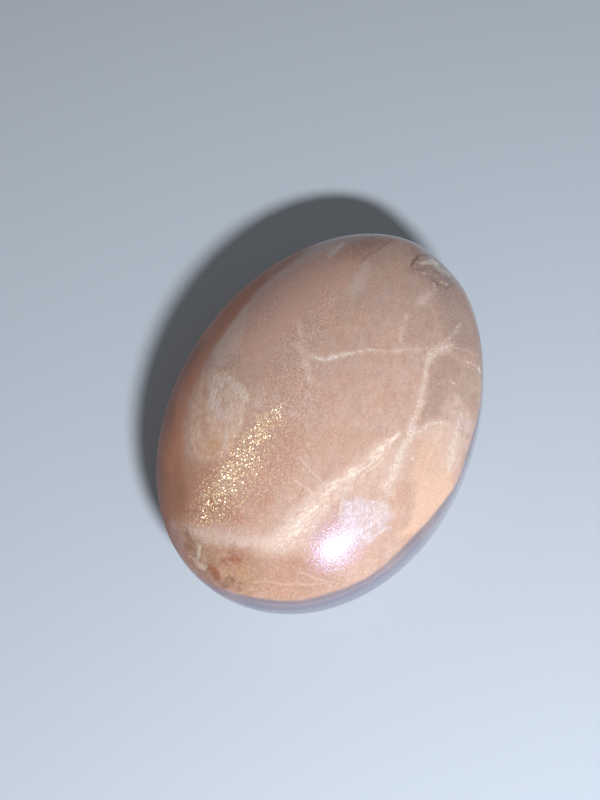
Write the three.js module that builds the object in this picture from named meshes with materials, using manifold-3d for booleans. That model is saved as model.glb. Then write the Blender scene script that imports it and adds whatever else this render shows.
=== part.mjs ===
// Palm stone: a hand-sized, polished oval pebble of peach moonstone, in millimetres, +Z up.
// It lies with its length along X and its width along Y, on a small flat spot under its middle.
// The origin is on the surface that it rests on, under the centre of its outline.
import * as THREE from 'three';
import { mergeVertices } from 'three/addons/utils/BufferGeometryUtils.js';
import Module from 'manifold-3d';

// Driving dimensions of the whole stone
const LENGTH = 66;
const WIDTH = 48;
const THICKNESS = 25.2;

// The girdle is the widest level of the side wall, above the flat spot
const GIRDLE_HEIGHT = 11.5;

// The side wall is a swelling that would close this far above and below the girdle
const WALL_RISE = 22;
const WALL_DROP = 11.8;
const WALL_ROUNDNESS = 2.1;

// The dome comes down to this height at the outline, a little higher towards +X and towards -Y
const SHOULDER_HEIGHT = 14.4;
const SHOULDER_LIFT_ALONG = 1.35;
const SHOULDER_LIFT_ACROSS = -1.5;

// How far the dome's section is from a parabola (0) towards half an ellipse (1)
const DOME_FULLNESS = 0.65;

// Least value under the dome's square root, which holds far outside the outline
const STEEPEST_DOME = 0.02;

// How far the dome's distance is scaled, so that it counts about as the wall's does at the shoulder
const DOME_SLOPE_SCALE = 0.85;

// Width of the hand-ground shoulder between dome and wall, softer towards +Y and crisper towards -Y
const SHOULDER_SOFTNESS = 1.05;
const SHOULDER_SOFTNESS_ACROSS = 0.55;

// The oval is slightly pear-shaped: shares of the radius for three and four lobes around the plan
const THREE_LOBES_ALONG = 0.012;
const THREE_LOBES_ACROSS = -0.002;
const FOUR_LOBES_ACROSS = -0.002;

// A small cleavage flat on the shoulder near the +X end: the way it faces, in degrees, and
// how far its plane lies from the middle of the girdle
const FLAT_AZIMUTH = -25;
const FLAT_TILT = 42;
const FLAT_REACH = 25.85;
const FLAT_SOFTNESS = 0.5;

// Mesh fineness: squares along each side of the ball's six faces, and halvings of the search
const SQUARES_PER_SIDE = 24;
const SEARCH_STEPS = 40;
const MERGE_DISTANCE = 1e-5;

const HALF_LENGTH = LENGTH / 2;
const HALF_WIDTH = WIDTH / 2;

const flatNormal = new THREE.Vector3(
  Math.cos(THREE.MathUtils.degToRad(FLAT_AZIMUTH)) * Math.cos(THREE.MathUtils.degToRad(FLAT_TILT)),
  Math.sin(THREE.MathUtils.degToRad(FLAT_AZIMUTH)) * Math.cos(THREE.MathUtils.degToRad(FLAT_TILT)),
  Math.sin(THREE.MathUtils.degToRad(FLAT_TILT)),
);

// Larger of two distances, with the corner between them rounded over the given width
function softMax(first, second, width) {
  const overlap = Math.max(width - Math.abs(first - second), 0) / width;
  return Math.max(first, second) + (overlap * overlap * width) / 4;
}

// Share of the way from the axis to the outline in plan: 1 on the pear-shaped oval
function outlineShare(x, y) {
  const turn = Math.atan2(y / HALF_WIDTH, x / HALF_LENGTH);
  const lobes =
    1 +
    THREE_LOBES_ALONG * Math.cos(3 * turn) +
    THREE_LOBES_ACROSS * Math.sin(3 * turn) +
    FOUR_LOBES_ACROSS * Math.sin(4 * turn);
  return Math.hypot(x / HALF_LENGTH, y / HALF_WIDTH) / lobes;
}

// Signed height over the dome, negative inside: the dome falls from the top to the shoulder
function overDome(x, y, z) {
  const share = outlineShare(x, y);
  const inside = Math.max(1 - DOME_FULLNESS * share * share, STEEPEST_DOME);
  const fall = (1 - Math.sqrt(inside)) / (1 - Math.sqrt(1 - DOME_FULLNESS));
  const shoulder =
    SHOULDER_HEIGHT +
    (SHOULDER_LIFT_ALONG * x) / HALF_LENGTH +
    (SHOULDER_LIFT_ACROSS * y) / HALF_WIDTH;
  return (z - THICKNESS + (THICKNESS - shoulder) * fall) * DOME_SLOPE_SCALE;
}

// Signed distance outside the swelling side wall and underside, negative inside
function overWall(x, y, z) {
  const reach = z > GIRDLE_HEIGHT ? WALL_RISE : WALL_DROP;
  const level = Math.abs(z - GIRDLE_HEIGHT) / reach;
  const sum = outlineShare(x, y) ** WALL_ROUNDNESS + level ** WALL_ROUNDNESS;
  return (sum ** (1 / WALL_ROUNDNESS) - 1) * HALF_WIDTH;
}

// Signed distance outside the small cleavage flat's plane
function overFlat(x, y, z) {
  const along = flatNormal.x * x + flatNormal.y * y + flatNormal.z * (z - GIRDLE_HEIGHT);
  return along - FLAT_REACH;
}

// Signed distance outside the stone, before its underside is ground flat
function outsideStone(x, y, z) {
  const softness = SHOULDER_SOFTNESS + (SHOULDER_SOFTNESS_ACROSS * y) / HALF_WIDTH;
  const body = softMax(overDome(x, y, z), overWall(x, y, z), softness);
  return softMax(body, overFlat(x, y, z), FLAT_SOFTNESS);
}

// Distance from the middle of the girdle to the surface, by halving the stretch that holds it
function reachAlong(direction) {
  let near = 0;
  let far = LENGTH;
  for (let step = 0; step < SEARCH_STEPS; step += 1) {
    const middle = (near + far) / 2;
    const outside = outsideStone(
      direction.x * middle,
      direction.y * middle,
      GIRDLE_HEIGHT + direction.z * middle,
    );
    if (outside < 0) {
      near = middle;
    } else {
      far = middle;
    }
  }
  return near;
}

// Closed ball of six squared faces, drawn out to the stone's surface
function stoneBall() {
  const ball = new THREE.BoxGeometry(2, 2, 2, SQUARES_PER_SIDE, SQUARES_PER_SIDE, SQUARES_PER_SIDE);
  ball.deleteAttribute('normal');
  ball.deleteAttribute('uv');
  const merged = mergeVertices(ball, MERGE_DISTANCE);
  const places = merged.getAttribute('position');
  const spread = new THREE.Vector3(HALF_LENGTH, HALF_WIDTH, THICKNESS / 2);
  const direction = new THREE.Vector3();
  for (let index = 0; index < places.count; index += 1) {
    direction.fromBufferAttribute(places, index);
    direction.set(
      Math.tan((direction.x * Math.PI) / 4),
      Math.tan((direction.y * Math.PI) / 4),
      Math.tan((direction.z * Math.PI) / 4),
    );
    direction.normalize().multiply(spread).normalize();
    direction.multiplyScalar(reachAlong(direction));
    places.setXYZ(index, direction.x, direction.y, GIRDLE_HEIGHT + direction.z);
  }
  return merged;
}

const wasm = await Module();
wasm.setup();

// Closed solid from a geometry whose shared vertices are merged
function toSolid(geometry) {
  return new wasm.Manifold(
    new wasm.Mesh({
      numProp: 3,
      vertProperties: new Float32Array(geometry.getAttribute('position').array),
      triVerts: new Uint32Array(geometry.getIndex().array),
    }),
  );
}

// Block that takes away everything under the resting level
function groundBlock() {
  const block = new THREE.BoxGeometry(2 * LENGTH, 2 * WIDTH, THICKNESS);
  block.deleteAttribute('normal');
  block.deleteAttribute('uv');
  block.translate(0, 0, -THICKNESS / 2);
  return mergeVertices(block, MERGE_DISTANCE);
}

// Geometry from a cut solid, centred over the origin by its outline
function centredGeometry(solid) {
  const cut = solid.getMesh();
  const geometry = new THREE.BufferGeometry();
  geometry.setAttribute('position', new THREE.BufferAttribute(cut.vertProperties, 3));
  geometry.setIndex(new THREE.BufferAttribute(cut.triVerts, 1));
  geometry.computeBoundingBox();
  const centre = geometry.boundingBox.getCenter(new THREE.Vector3());
  geometry.translate(-centre.x, -centre.y, 0);
  geometry.computeVertexNormals();
  return geometry;
}

const peachMoonstone = new THREE.MeshStandardMaterial({
  color: 0xc8a491,
  roughness: 0.12,
  metalness: 0,
});

const stone = new THREE.Mesh(
  centredGeometry(toSolid(stoneBall()).subtract(toSolid(groundBlock()))),
  peachMoonstone,
);
stone.name = 'palm_stone';

const group = new THREE.Group();
group.add(stone);

export default group;
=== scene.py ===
import logging
import math
from dataclasses import dataclass, replace
from enum import Enum

import bpy
import numpy as np
from mathutils import Matrix, Quaternion, Vector


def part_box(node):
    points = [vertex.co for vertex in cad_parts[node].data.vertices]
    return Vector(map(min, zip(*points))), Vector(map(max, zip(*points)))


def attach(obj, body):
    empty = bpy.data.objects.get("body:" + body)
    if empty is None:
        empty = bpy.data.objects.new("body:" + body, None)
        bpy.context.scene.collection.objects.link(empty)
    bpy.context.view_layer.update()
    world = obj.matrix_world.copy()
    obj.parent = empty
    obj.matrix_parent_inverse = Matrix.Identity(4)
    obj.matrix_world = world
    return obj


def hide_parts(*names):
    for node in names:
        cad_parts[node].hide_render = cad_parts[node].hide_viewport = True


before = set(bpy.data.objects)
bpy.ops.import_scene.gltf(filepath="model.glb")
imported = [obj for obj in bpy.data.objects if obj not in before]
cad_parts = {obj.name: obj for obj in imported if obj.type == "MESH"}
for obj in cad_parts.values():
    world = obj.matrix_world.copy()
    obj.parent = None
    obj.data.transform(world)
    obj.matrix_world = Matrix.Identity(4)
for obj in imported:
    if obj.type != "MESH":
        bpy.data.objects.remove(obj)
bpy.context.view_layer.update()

NODE = "palm_stone"
MM = 0.001

# The curve of sRGB: a straight foot up to the bend, and a power above it
SRGB_BEND = 0.04045
SRGB_SLOPE = 12.92
SRGB_SHIFT = 0.055
SRGB_POWER = 2.4

# Numbers of a mix node's sockets: what lies under, what lies over, and the result
COLOUR_SOCKETS = (6, 7, 2)
VECTOR_SOCKETS = (4, 5, 1)

logging.basicConfig(level=logging.INFO, format="%(levelname)s %(message)s")
log = logging.getLogger("palm_stone")

Point = tuple[float, float]
Bead = tuple[float, float, float]
Colour = tuple[float, float, float, float]


def soft_max(first: np.ndarray, second: np.ndarray, width: float | np.ndarray) -> np.ndarray:
    """Larger of two distances, with the corner between them rounded.

    Where the two differ by less than the width, a quarter of the width times the square of the
    overlap's share is added.

    Args:
        first: Distances to one surface.
        second: Distances to the other surface.
        width: How wide the rounding is, in the distances' own unit.

    Returns:
        The rounded maximum, as an array.
    """
    overlap = np.clip(width - np.abs(first - second), 0.0, None) / width
    return np.maximum(first, second) + overlap * overlap * width / 4


def ease(low: float, high: float, value: np.ndarray) -> np.ndarray:
    """Smooth step: 0 up to low, 1 from high on, and three squares less two cubes between."""
    share = np.clip((value - low) / (high - low), 0.0, 1.0)
    return share * share * (3 - 2 * share)


@dataclass(frozen=True)
class Ripple:
    """Seeded smooth noise: a sum of sine waves that run in random directions."""

    wavelength: float
    seed: int
    waves: int = 24
    shortest: float = 0.6
    longest: float = 1.6
    height: float = 0.6

    def at(self, points: np.ndarray) -> np.ndarray:
        """Noise at each point, about -1 to 1.

        Each wave is the sine of the point's distance along the wave's direction, times a turn per
        wavelength, plus a random start. Their sum is divided by the root of half their number, and
        scaled to its height.

        Args:
            points: Places in millimetres, with x, y and z in the last axis.

        Returns:
            One value per point.
        """
        draw = np.random.default_rng(self.seed)
        heading = draw.normal(size=(self.waves, 3))
        heading /= np.linalg.norm(heading, axis=1, keepdims=True)
        turns = 2 * np.pi / (self.wavelength * draw.uniform(self.shortest, self.longest, self.waves))
        start = draw.uniform(0, 2 * np.pi, self.waves)
        phase = points @ (heading * turns[:, None]).T + start
        return np.sin(phase).sum(axis=-1) / math.sqrt(self.waves / 2) * self.height


@dataclass(frozen=True)
class StoneForm:
    """Shape of the stone, in millimetres: a dome over a swelling side wall, with a flat spot below."""

    length: float
    width: float
    thickness: float
    girdle_height: float = 11.5
    wall_rise: float = 22.0
    wall_drop: float = 11.8
    wall_roundness: float = 2.1
    shoulder_height: float = 14.4
    shoulder_lift_along: float = 1.35
    shoulder_lift_across: float = -1.5
    shoulder_softness: float = 1.05
    shoulder_softness_across: float = 0.55
    dome_fullness: float = 0.65
    dome_slope_scale: float = 0.85
    steepest_dome: float = 0.02
    three_lobes_along: float = 0.012
    three_lobes_across: float = -0.002
    four_lobes_across: float = -0.002
    flat_azimuth: float = -25.0
    flat_tilt: float = 42.0
    flat_reach: float = 25.85
    flat_softness: float = 0.5
    rest_softness: float = 0.15
    squares_per_side: int = 124
    search_steps: int = 40
    merge_decimals: int = 9

    @classmethod
    def from_frame(cls) -> "StoneForm":
        """Reads length, width and thickness off the CAD node's box."""
        low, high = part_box(NODE)
        return cls(*((high[axis] - low[axis]) / MM for axis in range(3)))

    def outline_share(self, x: np.ndarray, y: np.ndarray) -> np.ndarray:
        """Share of the way from the axis to the pear-shaped outline.

        The distance in a plan where the oval is a unit circle, divided by one plus small cosine and
        sine waves of three and four lobes.

        Args:
            x: Places along the stone, in millimetres.
            y: Places across it.

        Returns:
            0 on the axis and 1 on the outline.
        """
        u = x / (self.length / 2)
        v = y / (self.width / 2)
        turn = np.arctan2(v, u)
        lobes = (
            1
            + self.three_lobes_along * np.cos(3 * turn)
            + self.three_lobes_across * np.sin(3 * turn)
            + self.four_lobes_across * np.sin(4 * turn)
        )
        return np.hypot(u, v) / lobes

    def over_dome(self, points: np.ndarray) -> np.ndarray:
        """Signed height over the dome, negative inside.

        The dome falls from the top by one less the root of (1 - fullness times share squared), scaled
        so that it meets the shoulder's height at the outline.

        Args:
            points: Places in millimetres.

        Returns:
            One value per point.
        """
        x, y, z = np.moveaxis(points, -1, 0)
        share = self.outline_share(x, y)
        inside = np.maximum(1 - self.dome_fullness * share**2, self.steepest_dome)
        fall = (1 - np.sqrt(inside)) / (1 - math.sqrt(1 - self.dome_fullness))
        shoulder = (
            self.shoulder_height
            + self.shoulder_lift_along * x / (self.length / 2)
            + self.shoulder_lift_across * y / (self.width / 2)
        )
        return (z - self.thickness + (self.thickness - shoulder) * fall) * self.dome_slope_scale

    def over_wall(self, points: np.ndarray) -> np.ndarray:
        """Signed distance outside the side wall and underside, negative inside.

        The outline share and the level above or below the girdle, each raised to the roundness, are
        added and the root is taken, so that 1 is the surface.

        Args:
            points: Places in millimetres.

        Returns:
            One value per point.
        """
        x, y, z = np.moveaxis(points, -1, 0)
        reach = np.where(z > self.girdle_height, self.wall_rise, self.wall_drop)
        level = np.abs(z - self.girdle_height) / reach
        total = self.outline_share(x, y) ** self.wall_roundness + level**self.wall_roundness
        return (total ** (1 / self.wall_roundness) - 1) * self.width / 2

    def over_flat(self, points: np.ndarray) -> np.ndarray:
        """Signed distance outside the plane of the small cleavage flat, negative inside.

        Args:
            points: Places in millimetres.

        Returns:
            One value per point.
        """
        azimuth = math.radians(self.flat_azimuth)
        tilt = math.radians(self.flat_tilt)
        normal = np.array(
            [math.cos(azimuth) * math.cos(tilt), math.sin(azimuth) * math.cos(tilt), math.sin(tilt)]
        )
        return (points - [0, 0, self.girdle_height]) @ normal - self.flat_reach

    def outside(self, points: np.ndarray) -> np.ndarray:
        """Signed distance outside the whole stone: the rounded maximum of its four bounds.

        The shoulder between dome and wall is softer towards +Y and crisper towards -Y.

        Args:
            points: Places in millimetres.

        Returns:
            One value per point.
        """
        across = points[..., 1] / (self.width / 2)
        softness = self.shoulder_softness + self.shoulder_softness_across * across
        body = soft_max(self.over_dome(points), self.over_wall(points), softness)
        body = soft_max(body, self.over_flat(points), self.flat_softness)
        return soft_max(body, -points[..., 2], self.rest_softness)

    def reach(self, directions: np.ndarray) -> np.ndarray:
        """Points where rays from the girdle's middle leave the stone, by halving the stretch.

        Args:
            directions: Unit heading of each ray.

        Returns:
            A place in millimetres for each ray.
        """
        middle = np.array([0, 0, self.girdle_height])
        near = np.zeros(directions.shape[:-1])
        far = np.full(directions.shape[:-1], self.length)
        for _ in range(self.search_steps):
            half = (near + far) / 2
            inside = self.outside(middle + directions * half[..., None]) < 0
            near = np.where(inside, half, near)
            far = np.where(inside, far, half)
        return middle + directions * near[..., None]

    def skin(self) -> tuple[np.ndarray, np.ndarray, np.ndarray]:
        """Closed surface of the stone, as six square grids joined along their edges.

        Each grid is a cube's face with u and v from -1 to 1. Its points are drawn to equal angles by
        the tangent of a quarter turn times u and v, stretched to the stone's length, width and
        thickness, and pushed out to the surface.

        Returns:
            Vertices in millimetres, centred over the origin, the four corners of each square, and
            the middle that the vertices had before they were centred.
        """
        count = self.squares_per_side + 1
        line = np.tan(np.linspace(-1, 1, count) * np.pi / 4)
        u, v = np.meshgrid(line, line, indexing="ij")
        one = np.ones_like(u)
        sides = [(one, u, v), (-one, v, u), (v, one, u), (u, -one, v), (u, v, one), (v, u, -one)]
        cube = np.stack([np.stack(side, axis=-1) for side in sides])
        spread = np.array([self.length, self.width, self.thickness]) / 2
        directions = cube / np.linalg.norm(cube, axis=-1, keepdims=True) * spread
        directions /= np.linalg.norm(directions, axis=-1, keepdims=True)
        corner = np.arange(len(sides) * count * count).reshape(len(sides), count, count)
        squares = np.stack(
            [corner[:, :-1, :-1], corner[:, 1:, :-1], corner[:, 1:, 1:], corner[:, :-1, 1:]], axis=-1
        ).reshape(-1, 4)
        flat = directions.reshape(-1, 3)
        _, first, joined = np.unique(
            np.round(flat, self.merge_decimals), axis=0, return_index=True, return_inverse=True
        )
        points = self.reach(flat[first])
        centre = (points.max(axis=0) + points.min(axis=0)) / 2 * [1, 1, 0]
        return points - centre, joined.reshape(-1)[squares], centre


@dataclass(frozen=True)
class PhotoView:
    """The photograph's viewpoint, in millimetres and degrees, fitted to the stone's outline.

    Picture places are in pixels of a frame of the photograph's width and height, x to the right and
    y down.
    """

    azimuth: float = -66.2
    elevation: float = 66.5
    distance: float = 220.0
    look_at: Bead = (-0.4, 0.0, 12.0)
    focal_pixels: float = 1404.4
    photo_width: float = 600.0
    photo_height: float = 800.0
    look_at_pixel: Point = (323.1, 416.4)
    sensor: float = 36.0
    clip_start: float = 0.005

    def stance(self) -> tuple[Vector, Quaternion]:
        """Where the camera stands, and how it is turned.

        It faces the point that it looks at, and is then turned a little, by that point's distance
        from the picture's middle over the focal length, so that the stone lies where it should.

        Returns:
            The camera's place in millimetres, and its rotation.
        """
        azimuth = math.radians(self.azimuth)
        elevation = math.radians(self.elevation)
        level = math.cos(elevation)
        back = Vector((math.sin(azimuth) * level, -math.cos(azimuth) * level, math.sin(elevation)))
        right = Vector((math.cos(azimuth), math.sin(azimuth), 0.0))
        up = back.cross(right)
        off_x = (self.photo_width / 2 - self.look_at_pixel[0]) / self.focal_pixels
        off_y = (self.look_at_pixel[1] - self.photo_height / 2) / self.focal_pixels
        straight = (-back).to_track_quat("-Z", "Y")
        turn = (-back).rotation_difference(-back + right * off_x + up * off_y)
        return Vector(self.look_at) + back * self.distance, turn @ straight

    def sight_lines(self, spots: np.ndarray) -> tuple[np.ndarray, np.ndarray]:
        """Lines of sight through picture spots.

        A line's heading is the spot's offset from the picture's middle over the focal length, with
        one unit ahead, turned as the camera is.

        Args:
            spots: x and y of each spot, in pixels.

        Returns:
            The place that all lines start from, and the unit heading of each.
        """
        place, turn = self.stance()
        across = (spots[:, 0] - self.photo_width / 2) / self.focal_pixels
        down = (spots[:, 1] - self.photo_height / 2) / self.focal_pixels
        headings = np.stack([across, -down, -np.ones(len(spots))], axis=1) @ np.array(turn.to_matrix()).T
        return np.array(place), headings / np.linalg.norm(headings, axis=1, keepdims=True)

    def make(self) -> bpy.types.Object:
        """Places the camera and makes it the scene's own.

        Returns:
            The camera object.
        """
        place, turn = self.stance()
        data = bpy.data.cameras.new("photo_view")
        data.sensor_width = self.sensor
        data.lens = self.focal_pixels * self.sensor / self.photo_height
        data.clip_start = self.clip_start
        camera = bpy.data.objects.new("photo_view", data)
        camera.rotation_mode = "QUATERNION"
        camera.location = place * MM
        camera.rotation_quaternion = turn
        bpy.context.scene.collection.objects.link(camera)
        bpy.context.scene.camera = camera
        log.info("camera: lens %.1f mm", data.lens)
        return camera


@dataclass(frozen=True)
class Sight:
    """The stone as the photograph sees it, which finds where picture spots lie on it.

    Lengths are in millimetres, and rounded to tenths, because spots are picked no finer than that.
    The centre is the middle of the stone's box in the frame of the form's formula. Lines of sight
    are sampled from the nearest to the farthest distance.
    """

    form: StoneForm
    view: PhotoView
    centre: np.ndarray
    middle_spot: Point = (322.0, 425.0)
    pixels_per_mm: float = 6.38
    nearest: float = 180.0
    farthest: float = 240.0
    sample_step: float = 0.1
    halvings: int = 20
    inward_share: float = 0.02
    thinnest: float = 0.1

    @staticmethod
    def tenths(lengths: np.ndarray) -> np.ndarray:
        """Lengths rounded to a tenth of a millimetre."""
        return np.round(lengths, 1)

    def hit(self, spots: np.ndarray) -> tuple[np.ndarray, np.ndarray]:
        """Where the lines of sight through picture spots enter the stone.

        Each line is sampled at even steps, and the stretch before its first sample inside the stone
        is halved until the surface is found.

        Args:
            spots: x and y of each spot, in pixels.

        Returns:
            x and y of each place in plan, and whether the line meets the stone at all.
        """
        start, headings = self.view.sight_lines(spots)
        start = start + self.centre
        reach = np.arange(self.nearest, self.farthest, self.sample_step)
        inside = self.form.outside(start + headings[:, None] * reach[:, None]) < 0
        first = np.maximum(inside.argmax(axis=1), 1)
        near, far = reach[first - 1], reach[first]
        for _ in range(self.halvings):
            half = (near + far) / 2
            within = self.form.outside(start + headings * half[:, None]) < 0
            near = np.where(within, near, half)
            far = np.where(within, half, far)
        return (start + headings * far[:, None] - self.centre)[:, :2], inside.any(axis=1)

    def plan(self, spots: np.ndarray) -> np.ndarray:
        """Places in plan of picture spots, also of those outside the stone's outline.

        A spot outside is drawn towards the stone's middle until its line of sight meets the stone.
        The place found there is moved out again, away from one a little further in, by the distance
        that the spot was drawn at the picture's scale.

        Args:
            spots: x and y of each spot, in pixels.

        Returns:
            x and y of each place, in millimetres.
        """
        inward = np.array(self.middle_spot) - spots
        share = np.zeros(len(spots))
        places, met = self.hit(spots)
        while not met.all():
            share = share + np.where(met, 0.0, self.inward_share)
            places, met = self.hit(spots + inward * share[:, None])
        further, _ = self.hit(spots + inward * (share + 2 * self.inward_share)[:, None])
        outward = places - further
        outward /= np.linalg.norm(outward, axis=1, keepdims=True)
        drawn = share * np.linalg.norm(inward, axis=1) / self.pixels_per_mm
        return places + outward * drawn[:, None]


class Tone(Enum):
    """What a marking does to the stone's colour. The value is the name of its vertex attribute."""

    FROST = "milky_frost"
    WISPS = "steep_wisps"
    SWEEP = "raking_wisps"
    VEIL = "rosy_veil"
    # Painted lavender sheen of the moonstone
    GLOW = "painted_moon_sheen"
    OAT = "oat_patch"
    AMBER = "amber_tint"
    # Peach windows, partly painted glow of lamplight through the translucent stone
    WINDOW = "window_and_painted_lamp_glow"
    CREAM = "cream_shard"
    RUST = "rust_stain"
    SMOKE = "smoky_brown"
    HAZE = "lavender_haze"
    BLUSH = "rosy_brown"
    ROSE = "rosy_body"
    OLIVE = "olive_brown"
    # Left side wall: own red-brown, partly painted shade where it faces away from the lamp
    SHADED_WALL = "red_brown_wall_and_painted_shade"
    DARK_SHADED_WALL = "dull_brown_wall_and_painted_shade"
    # Painted lavender reflection and painted shade of the lower right wall
    WALL_REFLECTION = "painted_lavender_reflection_and_shade"
    GOLD = "gold_flecks"
    GRAIN = "copper_grain"


@dataclass(frozen=True)
class Streak:
    """Marking along a line: beads of x, y and half width, joined in order.

    They are in picture pixels until the streak is placed, and then in millimetres of plan.
    """

    tone: Tone
    strength: float
    beads: tuple[Bead, ...] | np.ndarray
    edge: float = 1.0

    def placed(self, sight: Sight) -> "Streak":
        """The same streak in plan, where its picture spots lie on the stone.

        Args:
            sight: The stone as the photograph sees it.

        Returns:
            The streak in millimetres.
        """
        beads = np.array(self.beads, dtype=float)
        beads[:, :2] = sight.plan(beads[:, :2])
        beads[:, 2] = np.maximum(beads[:, 2] / sight.pixels_per_mm, sight.thinnest)
        return replace(self, beads=sight.tenths(beads))

    def cover(self, plan: np.ndarray) -> np.ndarray:
        """How far each point is covered, from 0 to the strength.

        The nearest point of each stretch gives a distance, which is divided by the half width there.
        The cover eases from the line's edge in to its middle, over the given share of the width.

        Args:
            plan: x and y of each point.

        Returns:
            One value per point.
        """
        beads = np.array(self.beads)
        best = np.full(len(plan), np.inf)
        for start, end in zip(beads[:-1], beads[1:]):
            step = end[:2] - start[:2]
            along = np.clip((plan - start[:2]) @ step / (step @ step), 0, 1)
            away = np.linalg.norm(plan - start[:2] - along[:, None] * step, axis=1)
            best = np.minimum(best, away / (start[2] + along * (end[2] - start[2])))
        return self.strength * ease(0.0, self.edge, 1 - best)


@dataclass(frozen=True)
class Patch:
    """Marking over an oval: its middle, its two half sizes, and its turn in degrees.

    They are in picture pixels until the patch is placed, and then in millimetres of plan.
    """

    tone: Tone
    strength: float
    middle: Point
    along: float
    across: float
    turn: float = 0.0
    edge: float = 1.0

    def placed(self, sight: Sight) -> "Patch":
        """The same patch in plan, from where its middle and the ends of its half axes lie.

        Args:
            sight: The stone as the photograph sees it.

        Returns:
            The patch in millimetres.
        """
        angle = math.radians(self.turn)
        along = (self.along * math.cos(angle), -self.along * math.sin(angle))
        across = (-self.across * math.sin(angle), -self.across * math.cos(angle))
        ends = sight.plan(np.array(self.middle) + np.array([(0.0, 0.0), along, across]))
        axes = ends[1:] - ends[0]
        along_mm, across_mm = sight.tenths(np.linalg.norm(axes, axis=1))
        turn = round(math.degrees(math.atan2(axes[0, 1], axes[0, 0])))
        middle = tuple(sight.tenths(ends[0]))
        return replace(self, middle=middle, along=along_mm, across=across_mm, turn=turn)

    def cover(self, plan: np.ndarray) -> np.ndarray:
        """How far each point is covered: eases from the oval's edge inwards, up to the strength.

        Args:
            plan: x and y of each point.

        Returns:
            One value per point.
        """
        angle = math.radians(self.turn)
        heading = np.array([math.cos(angle), math.sin(angle)])
        side = np.array([-heading[1], heading[0]])
        away = plan - np.array(self.middle)
        share = np.hypot(away @ heading / self.along, away @ side / self.across)
        return self.strength * ease(0.0, self.edge, 1 - share)


@dataclass(frozen=True)
class Area:
    """Marking inside a closed outline, with an edge as wide as given, in millimetres.

    The outline is in picture pixels until the area is placed, and then in millimetres of plan.
    """

    tone: Tone
    strength: float
    outline: tuple[Point, ...] | np.ndarray
    edge: float = 1.0

    def placed(self, sight: Sight) -> "Area":
        """The same area in plan, where its picture spots lie on the stone."""
        return replace(self, outline=sight.tenths(sight.plan(np.array(self.outline, dtype=float))))

    def cover(self, plan: np.ndarray) -> np.ndarray:
        """How far each point is covered: eases across the outline, from outside to inside.

        The distance is to the nearest side of the outline. It is counted as inside where a line from
        the point along +X crosses the sides an odd number of times.

        Args:
            plan: x and y of each point.

        Returns:
            One value per point.
        """
        corners = np.array(self.outline)
        away = np.full(len(plan), np.inf)
        inside = np.zeros(len(plan), dtype=bool)
        for start, end in zip(corners, np.roll(corners, -1, axis=0)):
            step = end - start
            along = np.clip((plan - start) @ step / (step @ step), 0, 1)
            away = np.minimum(away, np.linalg.norm(plan - start - along[:, None] * step, axis=1))
            between = (start[1] > plan[:, 1]) != (end[1] > plan[:, 1])
            rise = step[1] if step[1] else 1.0
            crossing = start[0] + (plan[:, 1] - start[1]) * step[0] / rise
            inside ^= between & (plan[:, 0] < crossing)
        depth = np.where(inside, away, -away)
        return self.strength * ease(-self.edge / 2, self.edge / 2, depth)


@dataclass(frozen=True)
class Stretch:
    """Part of the way round the stone that a wall's tone keeps to: directions in plan, in degrees."""

    tone: Tone
    middle: float
    half: float
    fade: float

    def cover(self, points: np.ndarray) -> np.ndarray:
        """Share of the tone that stays at each point, which eases out over the fade at both ends.

        Args:
            points: Places in millimetres.

        Returns:
            One value per point.
        """
        turn = np.degrees(np.arctan2(points[:, 1], points[:, 0]))
        away = np.abs((turn - self.middle + 180) % 360 - 180)
        return ease(-self.fade / 2, self.fade / 2, self.half - away)


@dataclass(frozen=True)
class Thread:
    """Thin line through its points in order, with its strength and its reach in millimetres.

    The points are in picture pixels until the thread is placed, and then in millimetres of plan.
    """

    strength: float
    points: tuple[Point, ...] | np.ndarray
    reach: float = 0.8
    solid_share: float = 0.5

    def placed(self, sight: Sight) -> "Thread":
        """The same thread in plan, where its picture spots lie on the stone."""
        return replace(self, points=sight.tenths(sight.plan(np.array(self.points, dtype=float))))

    def offset(self, plan: np.ndarray) -> tuple[np.ndarray, np.ndarray]:
        """Signed distance off the line, and how near it is.

        The distance is taken at right angles to the nearest stretch and has a sign for each side, so
        that it runs straight through nought where the line is. Nearness is the strength on the line
        and nought at the reach.

        Args:
            plan: x and y of each point.

        Returns:
            The signed distance in millimetres, and the nearness.
        """
        points = np.array(self.points)
        best = np.full(len(plan), np.inf)
        signed = np.full(len(plan), self.reach)
        for start, end in zip(points[:-1], points[1:]):
            step = end - start
            along = np.clip((plan - start) @ step / (step @ step), 0, 1)
            away = np.linalg.norm(plan - start - along[:, None] * step, axis=1)
            side = (plan - start) @ np.array([-step[1], step[0]]) / np.linalg.norm(step)
            signed = np.where(away < best, side, signed)
            best = np.minimum(best, away)
        return signed, self.strength * ease(0.0, self.solid_share, 1 - best / self.reach)


@dataclass(frozen=True)
class Lace:
    """Set of thin lines with one paint, none of which comes close to another of the set.

    A line is solid up to (1 less softness) times its half width, and gone at (1 plus softness) times
    it. Breaks is the share of it that a speckled texture wears away, and sway is how far the texture
    pushes it aside.
    """

    name: str
    paint: str
    half_mm: float
    softness: float
    breaks: float
    sway_mm: float
    threads: tuple[Thread, ...]


# The upper markings were picked in the picture: x to the right and y down, in pixels of its frame

# Outline of the dull pocket between the veins, which two tones share
DULL_POCKET = (
    (434, 357), (447, 352), (463, 364), (459, 381), (451, 391), (444, 406),
    (441, 416), (430, 424), (419, 432), (422, 412), (428, 390), (431, 372),
)
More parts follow.
